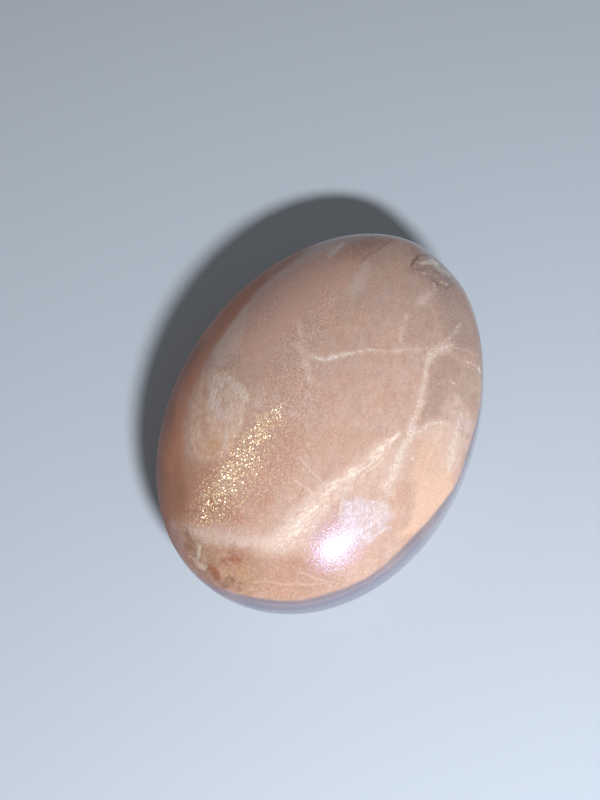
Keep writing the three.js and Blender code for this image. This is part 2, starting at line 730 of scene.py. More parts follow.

# Broad, soft zones of the body: the stone's own soft differences of tone, with painted shade along the
# left, lower-left and right rims, where the dome turns away from the lamp
BODY_ZONES = (
    Area(Tone.ROSE, 0.7, ((225, 345), (235, 318), (262, 285), (300, 258), (345, 243), (362, 262),
        (352, 290), (330, 315), (292, 335), (262, 362), (240, 372)), 6.0),
    Area(Tone.HAZE, 0.8, ((408, 240), (425, 246), (445, 262), (466, 295), (482, 330), (488, 356),
        (462, 358), (450, 350), (444, 335), (438, 310), (430, 290), (412, 270)), 5.0),
    # Painted shade and painted lavender reflection along the right rim, where it turns from the lamp
    Streak(Tone.WALL_REFLECTION, 0.35, ((483, 335, 7), (487, 368, 9), (485, 400, 8))),
    Streak(Tone.HAZE, 0.9, ((462, 296, 9), (474, 325, 11), (481, 350, 11), (484, 380, 9), (483, 402, 7))),
    Area(Tone.HAZE, 0.35, ((402, 280), (425, 282), (440, 300), (440, 345), (424, 350), (404, 340)), 4.0),
    Area(Tone.VEIL, 0.3, ((332, 408), (352, 398), (392, 362), (418, 352), (422, 372), (414, 405),
        (402, 424), (378, 432), (346, 424)), 2.6),
    Area(Tone.BLUSH, 0.2, ((300, 428), (345, 426), (388, 433), (396, 438), (378, 452), (358, 464),
        (338, 474), (320, 482), (310, 468), (303, 450)), 1.2),
    Area(Tone.BLUSH, 0.5, ((196, 465), (225, 445), (250, 420), (272, 410), (296, 416), (308, 435),
        (306, 455), (296, 478), (280, 500), (262, 522), (225, 526), (190, 520), (172, 500),
        (176, 475)), 5.0),
    Patch(Tone.BLUSH, 0.7, (264, 500), 30, 20, 40),
    Patch(Tone.AMBER, 0.35, (268, 476), 24, 16, 50),
    Area(Tone.BLUSH, 0.8, ((184, 490), (212, 480), (238, 494), (250, 514), (262, 524), (226, 528),
        (206, 526), (190, 514)), 4.0),
    Area(Tone.SMOKE, 0.5, ((186, 494), (212, 488), (236, 500), (240, 520), (214, 526), (196, 516)), 3.0),
    Area(Tone.OLIVE, 0.5, ((240, 548), (282, 552), (312, 554), (340, 572), (326, 598), (280, 606),
        (240, 602), (226, 584)), 4.0),
    Area(Tone.BLUSH, 0.5, ((196, 548), (240, 552), (282, 554), (312, 556), (334, 574), (322, 598),
        (280, 606), (240, 600), (208, 584)), 5.0),
    Patch(Tone.BLUSH, 0.4, (392, 394), 26, 20),
    # Painted shade along the left and lower-left rim, where the dome turns from the lamp: rosy brown, olive
    # and smoky brown
    Area(Tone.BLUSH, 0.95, ((165, 420), (178, 420), (180, 450), (200, 464), (226, 462), (214, 488),
        (224, 512), (208, 528), (170, 530), (150, 500), (150, 450)), 3.0),
    Area(Tone.OLIVE, 0.6, ((154, 470), (170, 474), (186, 492), (190, 520), (160, 530)), 4.0),
    Area(Tone.SMOKE, 0.85, ((150, 490), (164, 492), (178, 520), (196, 544), (216, 566), (236, 584),
        (226, 606), (190, 590), (160, 550)), 4.0),
    Area(Tone.BLUSH, 0.3, ((262, 360), (285, 352), (300, 372), (306, 395), (296, 412), (272, 400),
        (262, 384)), 4.0),
    Area(Tone.HAZE, 0.55, DULL_POCKET, 1.2),
    Area(Tone.BLUSH, 0.22, DULL_POCKET, 2.0),
)

# Peach windows of the lower half, painted brighter where lamplight glows through the translucent stone near
# its lit edge, and darker ovals
LOWER_ZONES = (
    Area(Tone.WINDOW, 0.85, ((415, 476), (430, 470), (452, 464), (452, 490), (440, 508), (428, 520),
        (414, 534), (400, 538), (409, 524), (414, 508), (416, 492)), 1.6),
    Area(Tone.WINDOW, 0.6, ((420, 438), (434, 425), (450, 424), (456, 434), (454, 460), (450, 480),
        (430, 484), (412, 480), (412, 458)), 2.6),
    Patch(Tone.BLUSH, 0.28, (403, 496), 13, 20, 0, 0.7),
    Patch(Tone.BLUSH, 0.25, (429, 459), 15, 8, 50),
    Area(Tone.VEIL, 0.85, ((411, 430), (426, 421), (444, 417), (456, 416), (454, 436), (436, 440),
        (418, 440)), 2.4),
    Area(Tone.VEIL, 0.75, ((440, 420), (470, 405), (476, 430), (468, 460), (456, 478), (442, 470),
        (436, 444)), 3.0),
    Area(Tone.OLIVE, 0.55, ((282, 560), (300, 555), (314, 562), (318, 576), (300, 582), (284, 578)), 1.6),
    Area(Tone.OLIVE, 0.5, ((262, 590), (290, 586), (318, 588), (312, 598), (285, 604), (262, 602)), 1.6),
    Area(Tone.BLUSH, 0.25, ((316, 498), (330, 492), (341, 502), (340, 524), (326, 530), (316, 520)), 1.6),
    Area(Tone.OLIVE, 0.85, ((176, 520), (205, 538), (235, 548), (262, 556), (268, 578), (255, 602),
        (215, 596), (185, 575)), 4.0),
    Area(Tone.OLIVE, 0.5, ((285, 560), (345, 572), (345, 590), (300, 604), (270, 602)), 4.0),
    Patch(Tone.SMOKE, 0.55, (196, 516), 34, 18, -30),
    Area(Tone.AMBER, 0.3, ((236, 560), (262, 556), (276, 572), (262, 584), (236, 582), (226, 572)), 2.4),
)

# Milky vein that crosses the dome, with the hazy smear where it starts
CROSSING_VEIN = (
    Streak(Tone.VEIL, 1.0, ((300, 322, 5), (301, 345, 6), (306, 360, 8), (311, 380, 6))),
    Streak(Tone.VEIL, 1.2, ((310, 357, 5), (322, 359, 7), (334, 358, 7), (344, 354, 5.5), (354, 352, 4))),
    Streak(Tone.FROST, 1.2, ((314, 358.5, 2), (322, 359.5, 3.6), (334, 358, 3.6), (343, 354.8, 2.6),
        (350, 352.8, 1.6))),
    Streak(Tone.VEIL, 0.8, ((340, 354, 4.5), (360, 351, 4), (385, 352, 4.5), (405, 349, 6), (420, 350, 7))),
    Streak(Tone.VEIL, 1.0, ((406, 314, 4), (404, 326, 5.6), (399, 340, 4.6))),
)

# Raking vein, which widens from its thin upper end to a milky fan
DOUBLE_VEIN = (
    Area(Tone.VEIL, 0.7, ((398, 434), (402, 450), (396, 470), (386, 490), (366, 498), (345, 494),
        (330, 500), (318, 520), (308, 548), (285, 556), (262, 552), (276, 530), (296, 510), (318, 488),
        (338, 474), (358, 458), (376, 444)), 3.0),
    Area(Tone.SWEEP, 0.72, ((398, 430), (380, 443), (361, 456), (343, 469), (326, 481), (308, 494),
        (291, 509), (274, 529), (261, 543), (275, 557), (294, 551), (313, 535), (328, 516), (342, 499),
        (357, 483), (371, 468), (388, 451), (402, 434)), 2.4),
    Streak(Tone.SWEEP, 1.0, ((398, 433, 4), (388, 443, 6.5), (378, 452, 8.5), (368, 461, 8.5),
        (358, 470, 7), (346, 480, 7), (334, 489, 7), (322, 498, 6))),
    Patch(Tone.SWEEP, 1.15, (296, 530), 22, 12, 42),
    Patch(Tone.SWEEP, 1.0, (362, 468), 18, 8, 44),
    Patch(Tone.SWEEP, 1.1, (308, 511), 18, 9, 45),
    Patch(Tone.SWEEP, 0.7, (282, 546), 14, 9, 40),
    Patch(Tone.SWEEP, 0.7, (318, 522), 12, 6, 50),
)

# Speckled band down the right of the dome, and the knot that it starts from
SPECKLED_BAND = (
    Area(Tone.FROST, 0.8, ((424, 352), (432, 346), (446, 341), (456, 344), (450, 352), (438, 357),
        (431, 364), (424, 364)), 2.2),
    Streak(Tone.FROST, 0.6, ((436, 352, 6), (446, 342, 6), (455, 332, 5), (461, 324, 3))),
    Patch(Tone.CREAM, 0.5, (453, 349), 9, 6, 20),
    Streak(Tone.VEIL, 0.8, ((429, 360, 7), (426, 380, 7), (421, 398, 7), (417, 414, 8), (412, 428, 9))),
    Streak(Tone.FROST, 0.62, ((428, 362, 6), (425, 380, 6.5), (420, 398, 7), (416, 414, 8), (412, 428, 9))),
    Area(Tone.FROST, 0.46, ((410, 420), (418, 424), (417, 440), (409, 458), (402, 478), (394, 496),
        (384, 510), (374, 518), (374, 508), (382, 492), (387, 476), (392, 460), (399, 444),
        (404, 432)), 2.2),
    Area(Tone.WISPS, 0.66, ((409, 420), (418, 424), (418, 440), (410, 458), (404, 476), (397, 492),
        (388, 508), (376, 520), (372, 510), (380, 494), (385, 478), (390, 462), (397, 446),
        (403, 432)), 2.6),
    Streak(Tone.WISPS, 1.0, ((414, 424, 6), (408, 440, 9), (400, 456, 10), (394, 472, 9), (389, 486, 8))),
    Streak(Tone.FROST, 0.6, ((413, 424, 6), (407, 440, 8), (400, 455, 8), (395, 468, 7))),
)

# Grey-green and rosy windows at the right edge, with the arch of frost beside them
EDGE_WINDOWS = (
    Area(Tone.HAZE, 0.5, ((465, 367), (480, 358), (490, 372), (490, 402), (484, 432), (476, 456),
        (466, 474), (457, 470), (462, 440), (457, 426), (443, 416), (444, 406), (451, 391),
        (459, 381)), 0.7),
    Area(Tone.CREAM, 0.35, ((463, 368), (480, 360), (490, 374), (484, 400), (466, 402), (455, 394)), 2.0),
    Area(Tone.VEIL, 0.7, ((452, 393), (464, 397), (466, 412), (460, 424), (444, 418), (443, 408)), 2.0),
    Patch(Tone.FROST, 0.45, (456, 402), 9, 6, 60),
    # Painted lavender sheen
    Patch(Tone.GLOW, 0.7, (467, 424), 7, 12),
    Streak(Tone.FROST, 0.8, ((408, 434, 3), (420, 430, 3.6), (430, 423, 3.6), (440, 421, 3),
        (447, 424, 2.6))),
    Streak(Tone.VEIL, 0.8, ((447, 424, 2.4), (456, 419, 3), (459, 410, 2.4))),
    Streak(Tone.WISPS, 0.9, ((460, 412, 4), (458, 426, 6), (455, 440, 8.5), (451, 456, 9), (448, 470, 6))),
    Streak(Tone.FROST, 0.55, ((459, 424, 4), (456, 438, 6.5), (452, 454, 7), (449, 466, 4))),
    Patch(Tone.FROST, 0.6, (461, 427), 7, 6),
)

# Milky band across the foot of the dome
FOOT_BAND = (
    Area(Tone.WISPS, 0.3, ((166, 514), (180, 514), (194, 525), (210, 532), (240, 530), (262, 528),
        (284, 515), (302, 521), (298, 544), (276, 556), (250, 557), (226, 552), (206, 546), (188, 542),
        (172, 532)), 3.0),
    Streak(Tone.WISPS, 0.5, ((170, 520, 9), (186, 530, 11), (206, 538, 12), (230, 541, 12),
        (246, 542, 11))),
    Patch(Tone.BLUSH, 0.6, (198, 527), 8, 4, -25),
    Patch(Tone.BLUSH, 0.6, (210, 546), 12, 5, -10),
    Streak(Tone.VEIL, 1.0, ((246, 542, 10), (262, 542, 11), (278, 540, 11))),
    Streak(Tone.FROST, 0.45, ((176, 522, 9), (192, 530, 12), (212, 536, 11), (236, 538, 9))),
    Patch(Tone.BLUSH, 0.5, (222, 531), 9, 4, -10),
    Patch(Tone.BLUSH, 0.7, (244, 551), 16, 6, 5),
)

# Oat-coloured oval at the left, whitest at its crisp upper right, and the veils round it
OVAL_PATCH = (
    Area(Tone.OAT, 1.0, ((212, 366), (222, 369), (231, 373), (240, 381), (247, 389), (250, 399),
        (246, 406), (244, 420), (241, 432), (236, 444), (230, 456), (220, 462), (207, 461), (196, 459),
        (190, 450), (188, 436), (189, 418), (191, 404), (196, 391), (201, 379), (205, 370)), 0.6),
    Area(Tone.WISPS, 0.62, ((210, 368), (224, 369), (240, 381), (250, 392), (248, 410), (242, 430),
        (234, 440), (222, 432), (212, 420), (208, 400)), 2.4),
    Area(Tone.WISPS, 1.0, ((211, 370), (222, 370), (224, 384), (223, 398), (219, 412), (214, 420),
        (210, 410), (209, 396), (209, 384)), 1.4),
    Area(Tone.WISPS, 1.05, ((223, 369), (232, 374), (241, 382), (248, 390), (250, 399), (243, 406),
        (236, 396), (229, 388), (224, 380)), 1.6),
    Streak(Tone.WISPS, 0.8, ((240, 384, 4), (242, 398, 6), (241, 414, 6), (238, 430, 5))),
    Streak(Tone.WISPS, 0.6, ((225, 426, 5), (226, 442, 7), (223, 456, 5))),
    Patch(Tone.BLUSH, 0.6, (236, 397), 9, 8),
    Patch(Tone.BLUSH, 0.5, (226, 403), 10, 7),
    # Painted lavender sheen
    Patch(Tone.GLOW, 0.45, (221, 416), 12, 13),
    Streak(Tone.BLUSH, 0.3, ((206, 380, 5), (203, 400, 6), (203, 430, 6), (205, 452, 5))),
    Patch(Tone.AMBER, 1.0, (215, 446), 16, 16),
    Area(Tone.VEIL, 1.1, ((212, 366), (214, 350), (225, 330), (238, 306), (246, 300), (252, 304),
        (246, 326), (240, 348), (231, 358), (222, 366)), 2.0),
    Area(Tone.FROST, 0.3, ((214, 364), (217, 350), (227, 332), (234, 334), (230, 350), (224, 366)), 2.0),
    Streak(Tone.VEIL, 0.6, ((246, 304, 6), (262, 288, 7), (285, 270, 6))),
    Area(Tone.WISPS, 0.7, ((248, 393), (255, 398), (263, 391), (262, 402), (259, 410), (252, 406)), 0.8),
)

# Painted lavender sheen above the lamp's highlight, with brighter strands in it
PAINTED_MOON_SHEEN = (
    Area(Tone.GLOW, 0.85, ((342, 500), (350, 497), (372, 500), (390, 504), (392, 515), (384, 528),
        (372, 540), (355, 546), (343, 540)), 2.0),
    Streak(Tone.GLOW, 1.0, ((350, 504, 2.2), (358, 499, 2.6), (372, 502, 2.4), (386, 506, 1.8))),
    Streak(Tone.GLOW, 1.0, ((378, 508, 2), (370, 520, 3), (362, 532, 3.4))),
    Streak(Tone.GLOW, 1.0, ((392, 527, 2), (380, 532, 2.8), (368, 540, 2.6))),
)

# Brown band, pale streaks and smears at the top end
TOP_END = (
    Area(Tone.BLUSH, 0.45, ((326, 238), (372, 226), (400, 232), (394, 240), (376, 252), (354, 264),
        (336, 262), (326, 250)), 3.0),
    Area(Tone.SMOKE, 0.5, ((346, 236), (374, 226), (398, 233), (392, 240), (374, 252), (354, 258)), 2.4),
    Streak(Tone.SMOKE, 0.5, ((360, 234, 5), (376, 234, 6), (395, 237, 4))),
    Area(Tone.FROST, 0.75, ((325, 257), (330, 249), (344, 241), (346, 244), (337, 254), (329, 259)), 0.8),
    Streak(Tone.VEIL, 0.5, ((330, 268, 3), (337, 260, 2.6))),
    Area(Tone.VEIL, 1.0, ((364, 260), (373, 264), (369, 276), (363, 288), (355, 298), (347, 296),
        (350, 284), (357, 270)), 2.4),
    Area(Tone.CREAM, 0.42, ((349, 284), (361, 280), (364, 292), (356, 303), (346, 300)), 2.4),
    Patch(Tone.FROST, 0.7, (319, 290), 4, 3, 30),
    # Painted lavender reflection along the upper-left edge
    Streak(Tone.HAZE, 0.2, ((286, 262, 5), (306, 254, 7), (328, 248, 6))),
    Streak(Tone.AMBER, 0.55, ((386, 284, 3), (372, 296, 5), (354, 311, 4))),
)

# Shattered corner beside the cleavage flat: dark arcs, a cream shard and speckled crumbs
SHATTERED_CORNER = (
    Streak(Tone.AMBER, 0.8, ((402, 245, 3), (413, 246, 3.4), (426, 251, 3))),
    Patch(Tone.RUST, 0.45, (405, 251), 6, 3),
    Area(Tone.HAZE, 1.0, ((430, 265), (444, 264), (454, 276), (454, 290), (438, 290), (428, 282),
        (424, 272)), 2.0),
    Streak(Tone.SMOKE, 1.1, ((411, 266, 2.4), (413, 260, 3.2), (421, 256, 3.6), (432, 256, 3.6),
        (440, 260, 2.4))),
    Streak(Tone.SMOKE, 0.7, ((413, 269, 2), (422, 270.5, 2.4), (430, 268, 2))),
    Streak(Tone.SMOKE, 1.0, ((437, 269, 2), (444, 270.5, 2.6), (449, 274, 2.4))),
    Streak(Tone.SMOKE, 0.7, ((432, 279, 3), (438, 284, 4), (446, 288, 4), (455, 284, 4))),
    Patch(Tone.SMOKE, 0.7, (444, 277), 4, 3, 40),
    Area(Tone.CREAM, 1.3, ((417, 262), (423, 260), (432, 259), (440, 261), (442, 264), (436, 265.5),
        (428, 264.5), (420, 265)), 0.5),
    Area(Tone.FROST, 1.1, ((418, 262.5), (424, 260.5), (432, 259.5), (440, 261), (441, 263),
        (436, 265), (428, 264), (420, 264.5)), 0.5),
    Area(Tone.CREAM, 0.8, ((432, 265), (441, 262), (453, 273), (452, 278), (444, 274.5), (437, 271)), 0.9),
    Area(Tone.FROST, 0.62, ((433, 265), (441, 262), (453, 273), (452, 277), (444, 274), (437, 271)), 0.8),
    Patch(Tone.FROST, 1.3, (442, 281), 2.6, 2),
    # Painted lavender sheen
    Patch(Tone.GLOW, 1.3, (446, 283), 3, 2.6),
    Patch(Tone.FROST, 1.3, (447.6, 276), 1.3, 4, 20),
    Patch(Tone.CREAM, 0.9, (436, 276), 5, 1.4),
    Patch(Tone.FROST, 1.0, (424, 274), 3.6, 2.2),
    Patch(Tone.RUST, 0.8, (449.6, 278), 1.4, 3, 20),
    Streak(Tone.FROST, 0.9, ((434, 283, 1.6), (434.5, 288, 2), (436, 291, 1.6))),
    Area(Tone.FROST, 0.6, ((426, 290), (431, 291), (431, 297), (428, 303), (420, 306), (417, 303),
        (422, 299)), 1.4),
    Area(Tone.VEIL, 0.8, ((424, 288), (433, 289), (433, 299), (428, 306), (416, 308), (414, 302),
        (420, 298)), 2.0),
)

# Rust, cream shards and dark seams at the lower end
RUSTY_END = (
    Area(Tone.SMOKE, 0.6, ((176, 534), (188, 532), (200, 538), (204, 548), (198, 558), (192, 562),
        (184, 556)), 2.4),
    Area(Tone.SMOKE, 0.5, ((192, 562), (206, 566), (214, 574), (228, 580), (240, 586), (236, 592),
        (218, 590), (200, 578)), 2.0),
    Streak(Tone.SMOKE, 0.9, ((184, 530, 2), (183, 537, 2.4))),
    Streak(Tone.SMOKE, 0.9, ((190, 557, 2.2), (191, 564, 2.6), (194, 569, 2))),
    Streak(Tone.SMOKE, 1.1, ((208, 566, 2.2), (212, 574, 2.6), (218, 578, 2.2))),
    Streak(Tone.SMOKE, 0.7, ((220, 577, 2), (231, 579, 2.4), (240, 582, 2))),
    Area(Tone.CREAM, 1.4, ((199, 544), (202.4, 544.8), (202.4, 551), (200.5, 556), (197, 561),
        (195, 556.5), (197.4, 550)), 0.4),
    Area(Tone.CREAM, 1.4, ((188, 553), (192, 557), (196, 559), (199, 562.5), (203, 560.5),
        (208.5, 566), (205, 570), (199, 567), (194, 564.5), (190, 559)), 0.4),
    Streak(Tone.FROST, 1.0, ((189, 555, 1.2), (196, 561, 1.8), (205, 567, 1.8))),
    Streak(Tone.FROST, 0.9, ((193, 549, 1), (194.5, 554, 1.2))),
    Streak(Tone.FROST, 0.8, ((184.6, 551, 1), (187, 554, 1.2))),
    Area(Tone.FROST, 0.7, ((196, 561), (202, 560.5), (207, 566), (204, 569), (199, 566)), 0.5),
    Streak(Tone.FROST, 0.6, ((200.6, 546, 1.6), (199, 555, 2))),
    Streak(Tone.CREAM, 0.8, ((183.5, 540, 1.4), (182, 549, 1.8))),
    Patch(Tone.CREAM, 1.1, (188, 556), 3, 2.2, -30),
    Patch(Tone.FROST, 0.9, (190, 567), 3, 1.6, -30),
    Area(Tone.AMBER, 0.7, ((198, 566), (205, 567), (209, 570), (208, 574), (201, 572)), 1.0),
    Area(Tone.RUST, 1.2, ((209, 565), (215, 566), (220, 571), (219, 577), (213, 575), (209.5, 570)), 1.2),
    Area(Tone.RUST, 1.0, ((224, 552), (234, 546), (244, 550), (246, 560), (240, 568), (230, 567),
        (224, 562)), 3.0),
    Patch(Tone.RUST, 1.1, (238, 560), 9, 8),
    Patch(Tone.AMBER, 0.8, (240, 567), 20, 16),
    Patch(Tone.AMBER, 0.95, (222, 574), 18, 13),
    Patch(Tone.SMOKE, 0.3, (212, 560), 14, 12),
    Patch(Tone.AMBER, 0.8, (246, 576), 18, 9, 10),
    Patch(Tone.OLIVE, 0.6, (248, 581), 16, 6, 5),
    Patch(Tone.BLUSH, 0.5, (214, 556), 12, 8),
)

# Small milky spots
SCATTERED_SPOTS = (
    Patch(Tone.FROST, 0.75, (308, 447), 5.5, 6.5, 20),
    Patch(Tone.VEIL, 0.8, (309, 457), 4, 4),
    Patch(Tone.VEIL, 1.0, (327, 427), 4.5, 4),
    Patch(Tone.FROST, 0.9, (343, 437), 2.4, 2),
    Patch(Tone.FROST, 0.8, (413, 460), 5, 4.5),
    Patch(Tone.FROST, 1.0, (433, 378), 2, 1.6),
    Patch(Tone.FROST, 0.6, (177, 482), 2.4, 3),
)

# Gold in its core, copper sparks round it. The gold band lies where the platelets glint under the lamp, so
# its mask is partly painted glint
GLITTER = (
    Streak(Tone.GOLD, 0.92, ((281, 406, 6), (266, 424, 20), (248, 450, 32), (232, 476, 38),
        (216, 500, 31), (206, 519, 14))),
    Patch(Tone.GOLD, 1.2, (262, 432), 13, 10, 50),
    Patch(Tone.GOLD, 1.15, (244, 448), 11, 9, 40),
    Patch(Tone.GOLD, 1.2, (228, 478), 17, 13, 60),
    Patch(Tone.GOLD, 1.1, (252, 466), 11, 8, 30),
    Patch(Tone.GOLD, 1.1, (216, 494), 13, 9, 40),
    Streak(Tone.GRAIN, 0.7, ((232, 372, 18), (250, 332, 22), (276, 296, 20))),
    Streak(Tone.GRAIN, 1.0, ((330, 300, 22), (300, 345, 38), (285, 400, 55), (262, 460, 62),
        (225, 500, 48), (195, 515, 30))),
)

# Red-brown side wall at the left, duller and darker towards the lower end: partly the stone's own colour,
# partly painted shade of the side that faces away from the lamp
SHADED_LEFT_WALL = (
    Area(Tone.SHADED_WALL, 0.95, ((270, 262), (240, 276), (225, 288), (195, 326), (172, 364), (156, 404),
        (146, 450), (146, 500), (150, 540), (176, 590), (192, 574), (178, 552), (170, 530), (172, 505),
        (178, 480), (183, 450), (185, 425), (188, 402), (198, 378), (212, 352), (228, 328), (246, 306),
        (264, 286)), 2.2),
    Area(Tone.SHADED_WALL, 0.45, ((380, 215), (345, 212), (300, 226), (240, 266), (232, 300), (250, 300),
        (266, 285), (288, 267), (311, 250), (334, 239), (372, 230)), 3.0),
    Area(Tone.DARK_SHADED_WALL, 0.65, ((196, 336), (180, 345), (160, 385), (140, 440), (130, 490), (172, 470),
        (178, 430), (181, 400), (190, 374), (202, 352), (206, 342)), 4.0),
    Area(Tone.DARK_SHADED_WALL, 0.9, ((176, 452), (162, 444), (140, 440), (130, 490), (140, 540), (170, 600),
        (204, 610), (220, 594), (200, 566), (186, 540), (186, 515), (188, 494), (182, 470)), 6.0),
)

# Painted lavender-grey reflection and painted shade on the side wall at the lower right, which starts
# crisply at the shoulder
PAINTED_WALL_REFLECTION = (
    Area(Tone.WALL_REFLECTION, 0.72, ((480, 290), (487, 330), (488, 365), (483, 395), (477, 420), (469, 445),
        (460, 474), (453, 489), (441, 505), (428, 521), (412, 537), (400, 549), (384, 565), (366, 578),
        (344, 588), (320, 596), (300, 600), (280, 601), (257, 598), (238, 594), (218, 588), (202, 578),
        (186, 566), (160, 590), (225, 660), (330, 680), (450, 640), (530, 540), (570, 400),
        (520, 260)), 0.5),
    Area(Tone.WALL_REFLECTION, 1.0, ((492, 340), (491, 390), (484, 430), (475, 458), (466, 482), (458, 496),
        (446, 511), (432, 527), (415, 541), (403, 553), (386, 568), (368, 580), (345, 591), (321, 599),
        (300, 603), (280, 604), (257, 601), (238, 598), (222, 594), (225, 660), (330, 680), (450, 640),
        (530, 540), (570, 400)), 1.6),
)

# Thin lines of the dome, in sets that share a paint
LACES = (
    Lace("bright_hairlines", "FFF4E8", 0.12, 0.9, 1.0, 0.4, (
        Thread(0.75, ((397, 434), (392, 439), (388, 445), (378, 453), (368, 459), (364, 468),
            (356, 475), (350, 481), (341, 487))),
        Thread(0.7, ((330, 489), (322, 493), (316, 499), (308, 506))),
        Thread(1.0, ((472, 364), (478, 366), (480, 371), (481, 375))),
        Thread(1.0, ((474, 366), (478, 369))),
        Thread(0.9, ((450, 382), (451.6, 382.8))),
        Thread(0.5, ((300, 520), (290, 534))),
        Thread(0.6, ((334, 357.5), (345, 354), (358, 351.6), (372, 350.5))),
    )),
    Lace("golden_hairlines", "FFE9D2", 0.11, 0.9, 1.0, 0.3, (
        Thread(0.8, ((392, 442), (386, 453), (378, 462), (371, 469), (365, 476))),
        Thread(0.6, ((358, 484), (351, 489))),
        Thread(0.5, ((337, 490), (330, 497), (322, 502))),
    )),
    Lace("fan_hairlines", "FFF2E6", 0.12, 0.9, 1.0, 0.45, (
        Thread(0.7, ((383, 448), (376, 450), (369, 456), (360, 465))),
        Thread(0.6, ((352, 476), (340, 480), (330, 484))),
        Thread(0.6, ((318, 506), (306, 516), (296, 524))),
        Thread(0.6, ((366, 455), (358, 464), (350, 472))),
    )),
    Lace("faint_veins", "EBD6CA", 0.14, 0.9, 0.6, 0.16, (
        Thread(0.3, ((457, 348), (470, 352), (482, 357))),
        Thread(0.45, ((302, 461), (312, 472), (324, 485))),
        Thread(0.45, ((296, 480), (306, 488), (314, 495))),
        Thread(0.2, ((240, 591), (262, 587), (290, 586))),
        Thread(0.3, ((303, 573), (316, 579), (329, 585))),
        Thread(0.3, ((256, 584), (276, 583), (300, 584), (326, 585))),
        Thread(0.5, ((342, 500), (342, 516), (343, 530))),
        Thread(0.4, ((372, 350.5), (390, 351), (406, 349))),
        Thread(0.15, ((434, 310), (437, 322), (433, 342))),
        Thread(0.15, ((352, 311), (356, 330), (364, 344))),
        Thread(0.4, ((428, 462), (436, 440), (444, 424))),
    )),
    Lace("dark_seams", "80604F", 0.2, 0.9, 0.8, 0.2, (
        Thread(0.6, ((396, 237), (384, 245), (372, 253), (360, 262))),
        Thread(0.4, ((415, 272), (411, 262), (418, 255), (432, 254))),
        Thread(0.5, ((204, 564), (216, 577), (230, 578), (238, 585))),
        Thread(0.5, ((186, 530), (190, 542), (194, 552))),
    )),
)

# Veins and clouds of the hidden underside, in millimetres of plan, which carry on from those above
UNDERSIDE = (
    Streak(Tone.FROST, 0.7, ((-26.0, 4.0, 2.5), (-14.0, 8.0, 2.0), (0.0, 6.0, 1.4), (12.0, 12.0, 1.0))),
    Streak(Tone.SWEEP, 0.75, ((-18.0, -14.0, 1.5), (-6.0, -6.0, 1.0), (6.0, -4.0, 1.6), (22.0, 6.0, 1.0))),
    Patch(Tone.WISPS, 0.8, (13.0, -8.0), 8.0, 4.5, 20.0, 0.6),
    Patch(Tone.GOLD, 0.8, (-8.0, -2.0), 10.0, 5.0, -30.0),
    Patch(Tone.GRAIN, 1.0, (-4.0, 0.0), 24.0, 16.0),
    Patch(Tone.SMOKE, 0.5, (16.0, 10.0), 11.0, 8.0, 10.0),
    Patch(Tone.BLUSH, 0.5, (-20.0, -6.0), 9.0, 8.0),
)


@dataclass(frozen=True)
class Markings:
    """All markings of the stone, spread over its vertices as one soft mask for each tone."""

    upper: tuple[Streak | Patch | Area, ...] = (
        BODY_ZONES
        + LOWER_ZONES
        + CROSSING_VEIN
        + DOUBLE_VEIN
        + SPECKLED_BAND
        + EDGE_WINDOWS
        + FOOT_BAND
        + OVAL_PATCH
        + PAINTED_MOON_SHEEN
        + TOP_END
        + SHATTERED_CORNER
        + RUSTY_END
        + SCATTERED_SPOTS
        + GLITTER
        + SHADED_LEFT_WALL
    )
    steady: tuple[Streak | Patch | Area, ...] = PAINTED_WALL_REFLECTION
    lower: tuple[Streak | Patch | Area, ...] = UNDERSIDE
    laces: tuple[Lace, ...] = LACES
    # Keep the painted shade to the left wall and the painted reflection to the lower right wall
    stretches: tuple[Stretch, ...] = (
        Stretch(Tone.SHADED_WALL, 90.0, 68.0, 36.0),
        Stretch(Tone.WALL_REFLECTION, -120.0, 72.0, 26.0),
    )
    fade_level: float = 8.0
    fade_depth: float = 4.0
    drifts: tuple[Point, ...] = ((0.16, 4.0), (0.1, 1.3))
    drift_seed: int = 11

    def drifted(self, points: np.ndarray, drifts: tuple[Point, ...]) -> np.ndarray:
        """Plan places, moved by smooth noise so that no marking has a drawn edge.

        Args:
            points: Vertices in millimetres.
            drifts: A distance and a wavelength for each noise, both in millimetres.

        Returns:
            x and y of each vertex, as the markings read them.
        """
        plan = points[:, :2].copy()
        for number, (distance, length) in enumerate(drifts):
            for axis in range(2):
                seed = self.drift_seed + 2 * number + axis
                plan[:, axis] += distance * Ripple(length, seed).at(points)
        return plan

    def masks(self, points: np.ndarray, sight: Sight) -> dict[str, np.ndarray]:
        """Soft masks over the vertices, by the name of their attribute.

        The largest cover of a tone's markings is taken. Those of the dome fade out below the girdle,
        and those of the underside fade in. The steady ones keep their drawn edge. Each set of threads
        gives its nearness and its offset.

        Args:
            points: Vertices in millimetres.
            sight: The stone as the photograph sees it.

        Returns:
            An array for each attribute.
        """
        plan = self.drifted(points, self.drifts)
        slow_plan = self.drifted(points, self.drifts[:1])
        above = ease(self.fade_level - self.fade_depth, self.fade_level + self.fade_depth, points[:, 2])
        out = {tone.value: np.zeros(len(points)) for tone in Tone}
        groups = (
            ([marking.placed(sight) for marking in self.upper], plan, above),
            ([marking.placed(sight) for marking in self.steady], points[:, :2], above),
            (self.lower, plan, 1 - above),
        )
        for markings, places, share in groups:
            for marking in markings:
                name = marking.tone.value
                out[name] = np.maximum(out[name], marking.cover(places) * share)
        for stretch in self.stretches:
            out[stretch.tone.value] *= stretch.cover(points)
        for lace in self.laces:
            near = np.zeros(len(points))
            offset = np.ones(len(points))
            for thread in lace.threads:
                signed, close = thread.placed(sight).offset(slow_plan)
                offset = np.where(close > near, signed, offset)
                near = np.maximum(near, close)
            out[f"{lace.name}_nearness"] = near * above
            out[f"{lace.name}_offset"] = offset
        return out


@dataclass(frozen=True)
class Chip:
    """Small bruise where a flake has come away: its place, its radius and its depth."""

    middle: Bead
    radius: float
    depth: float


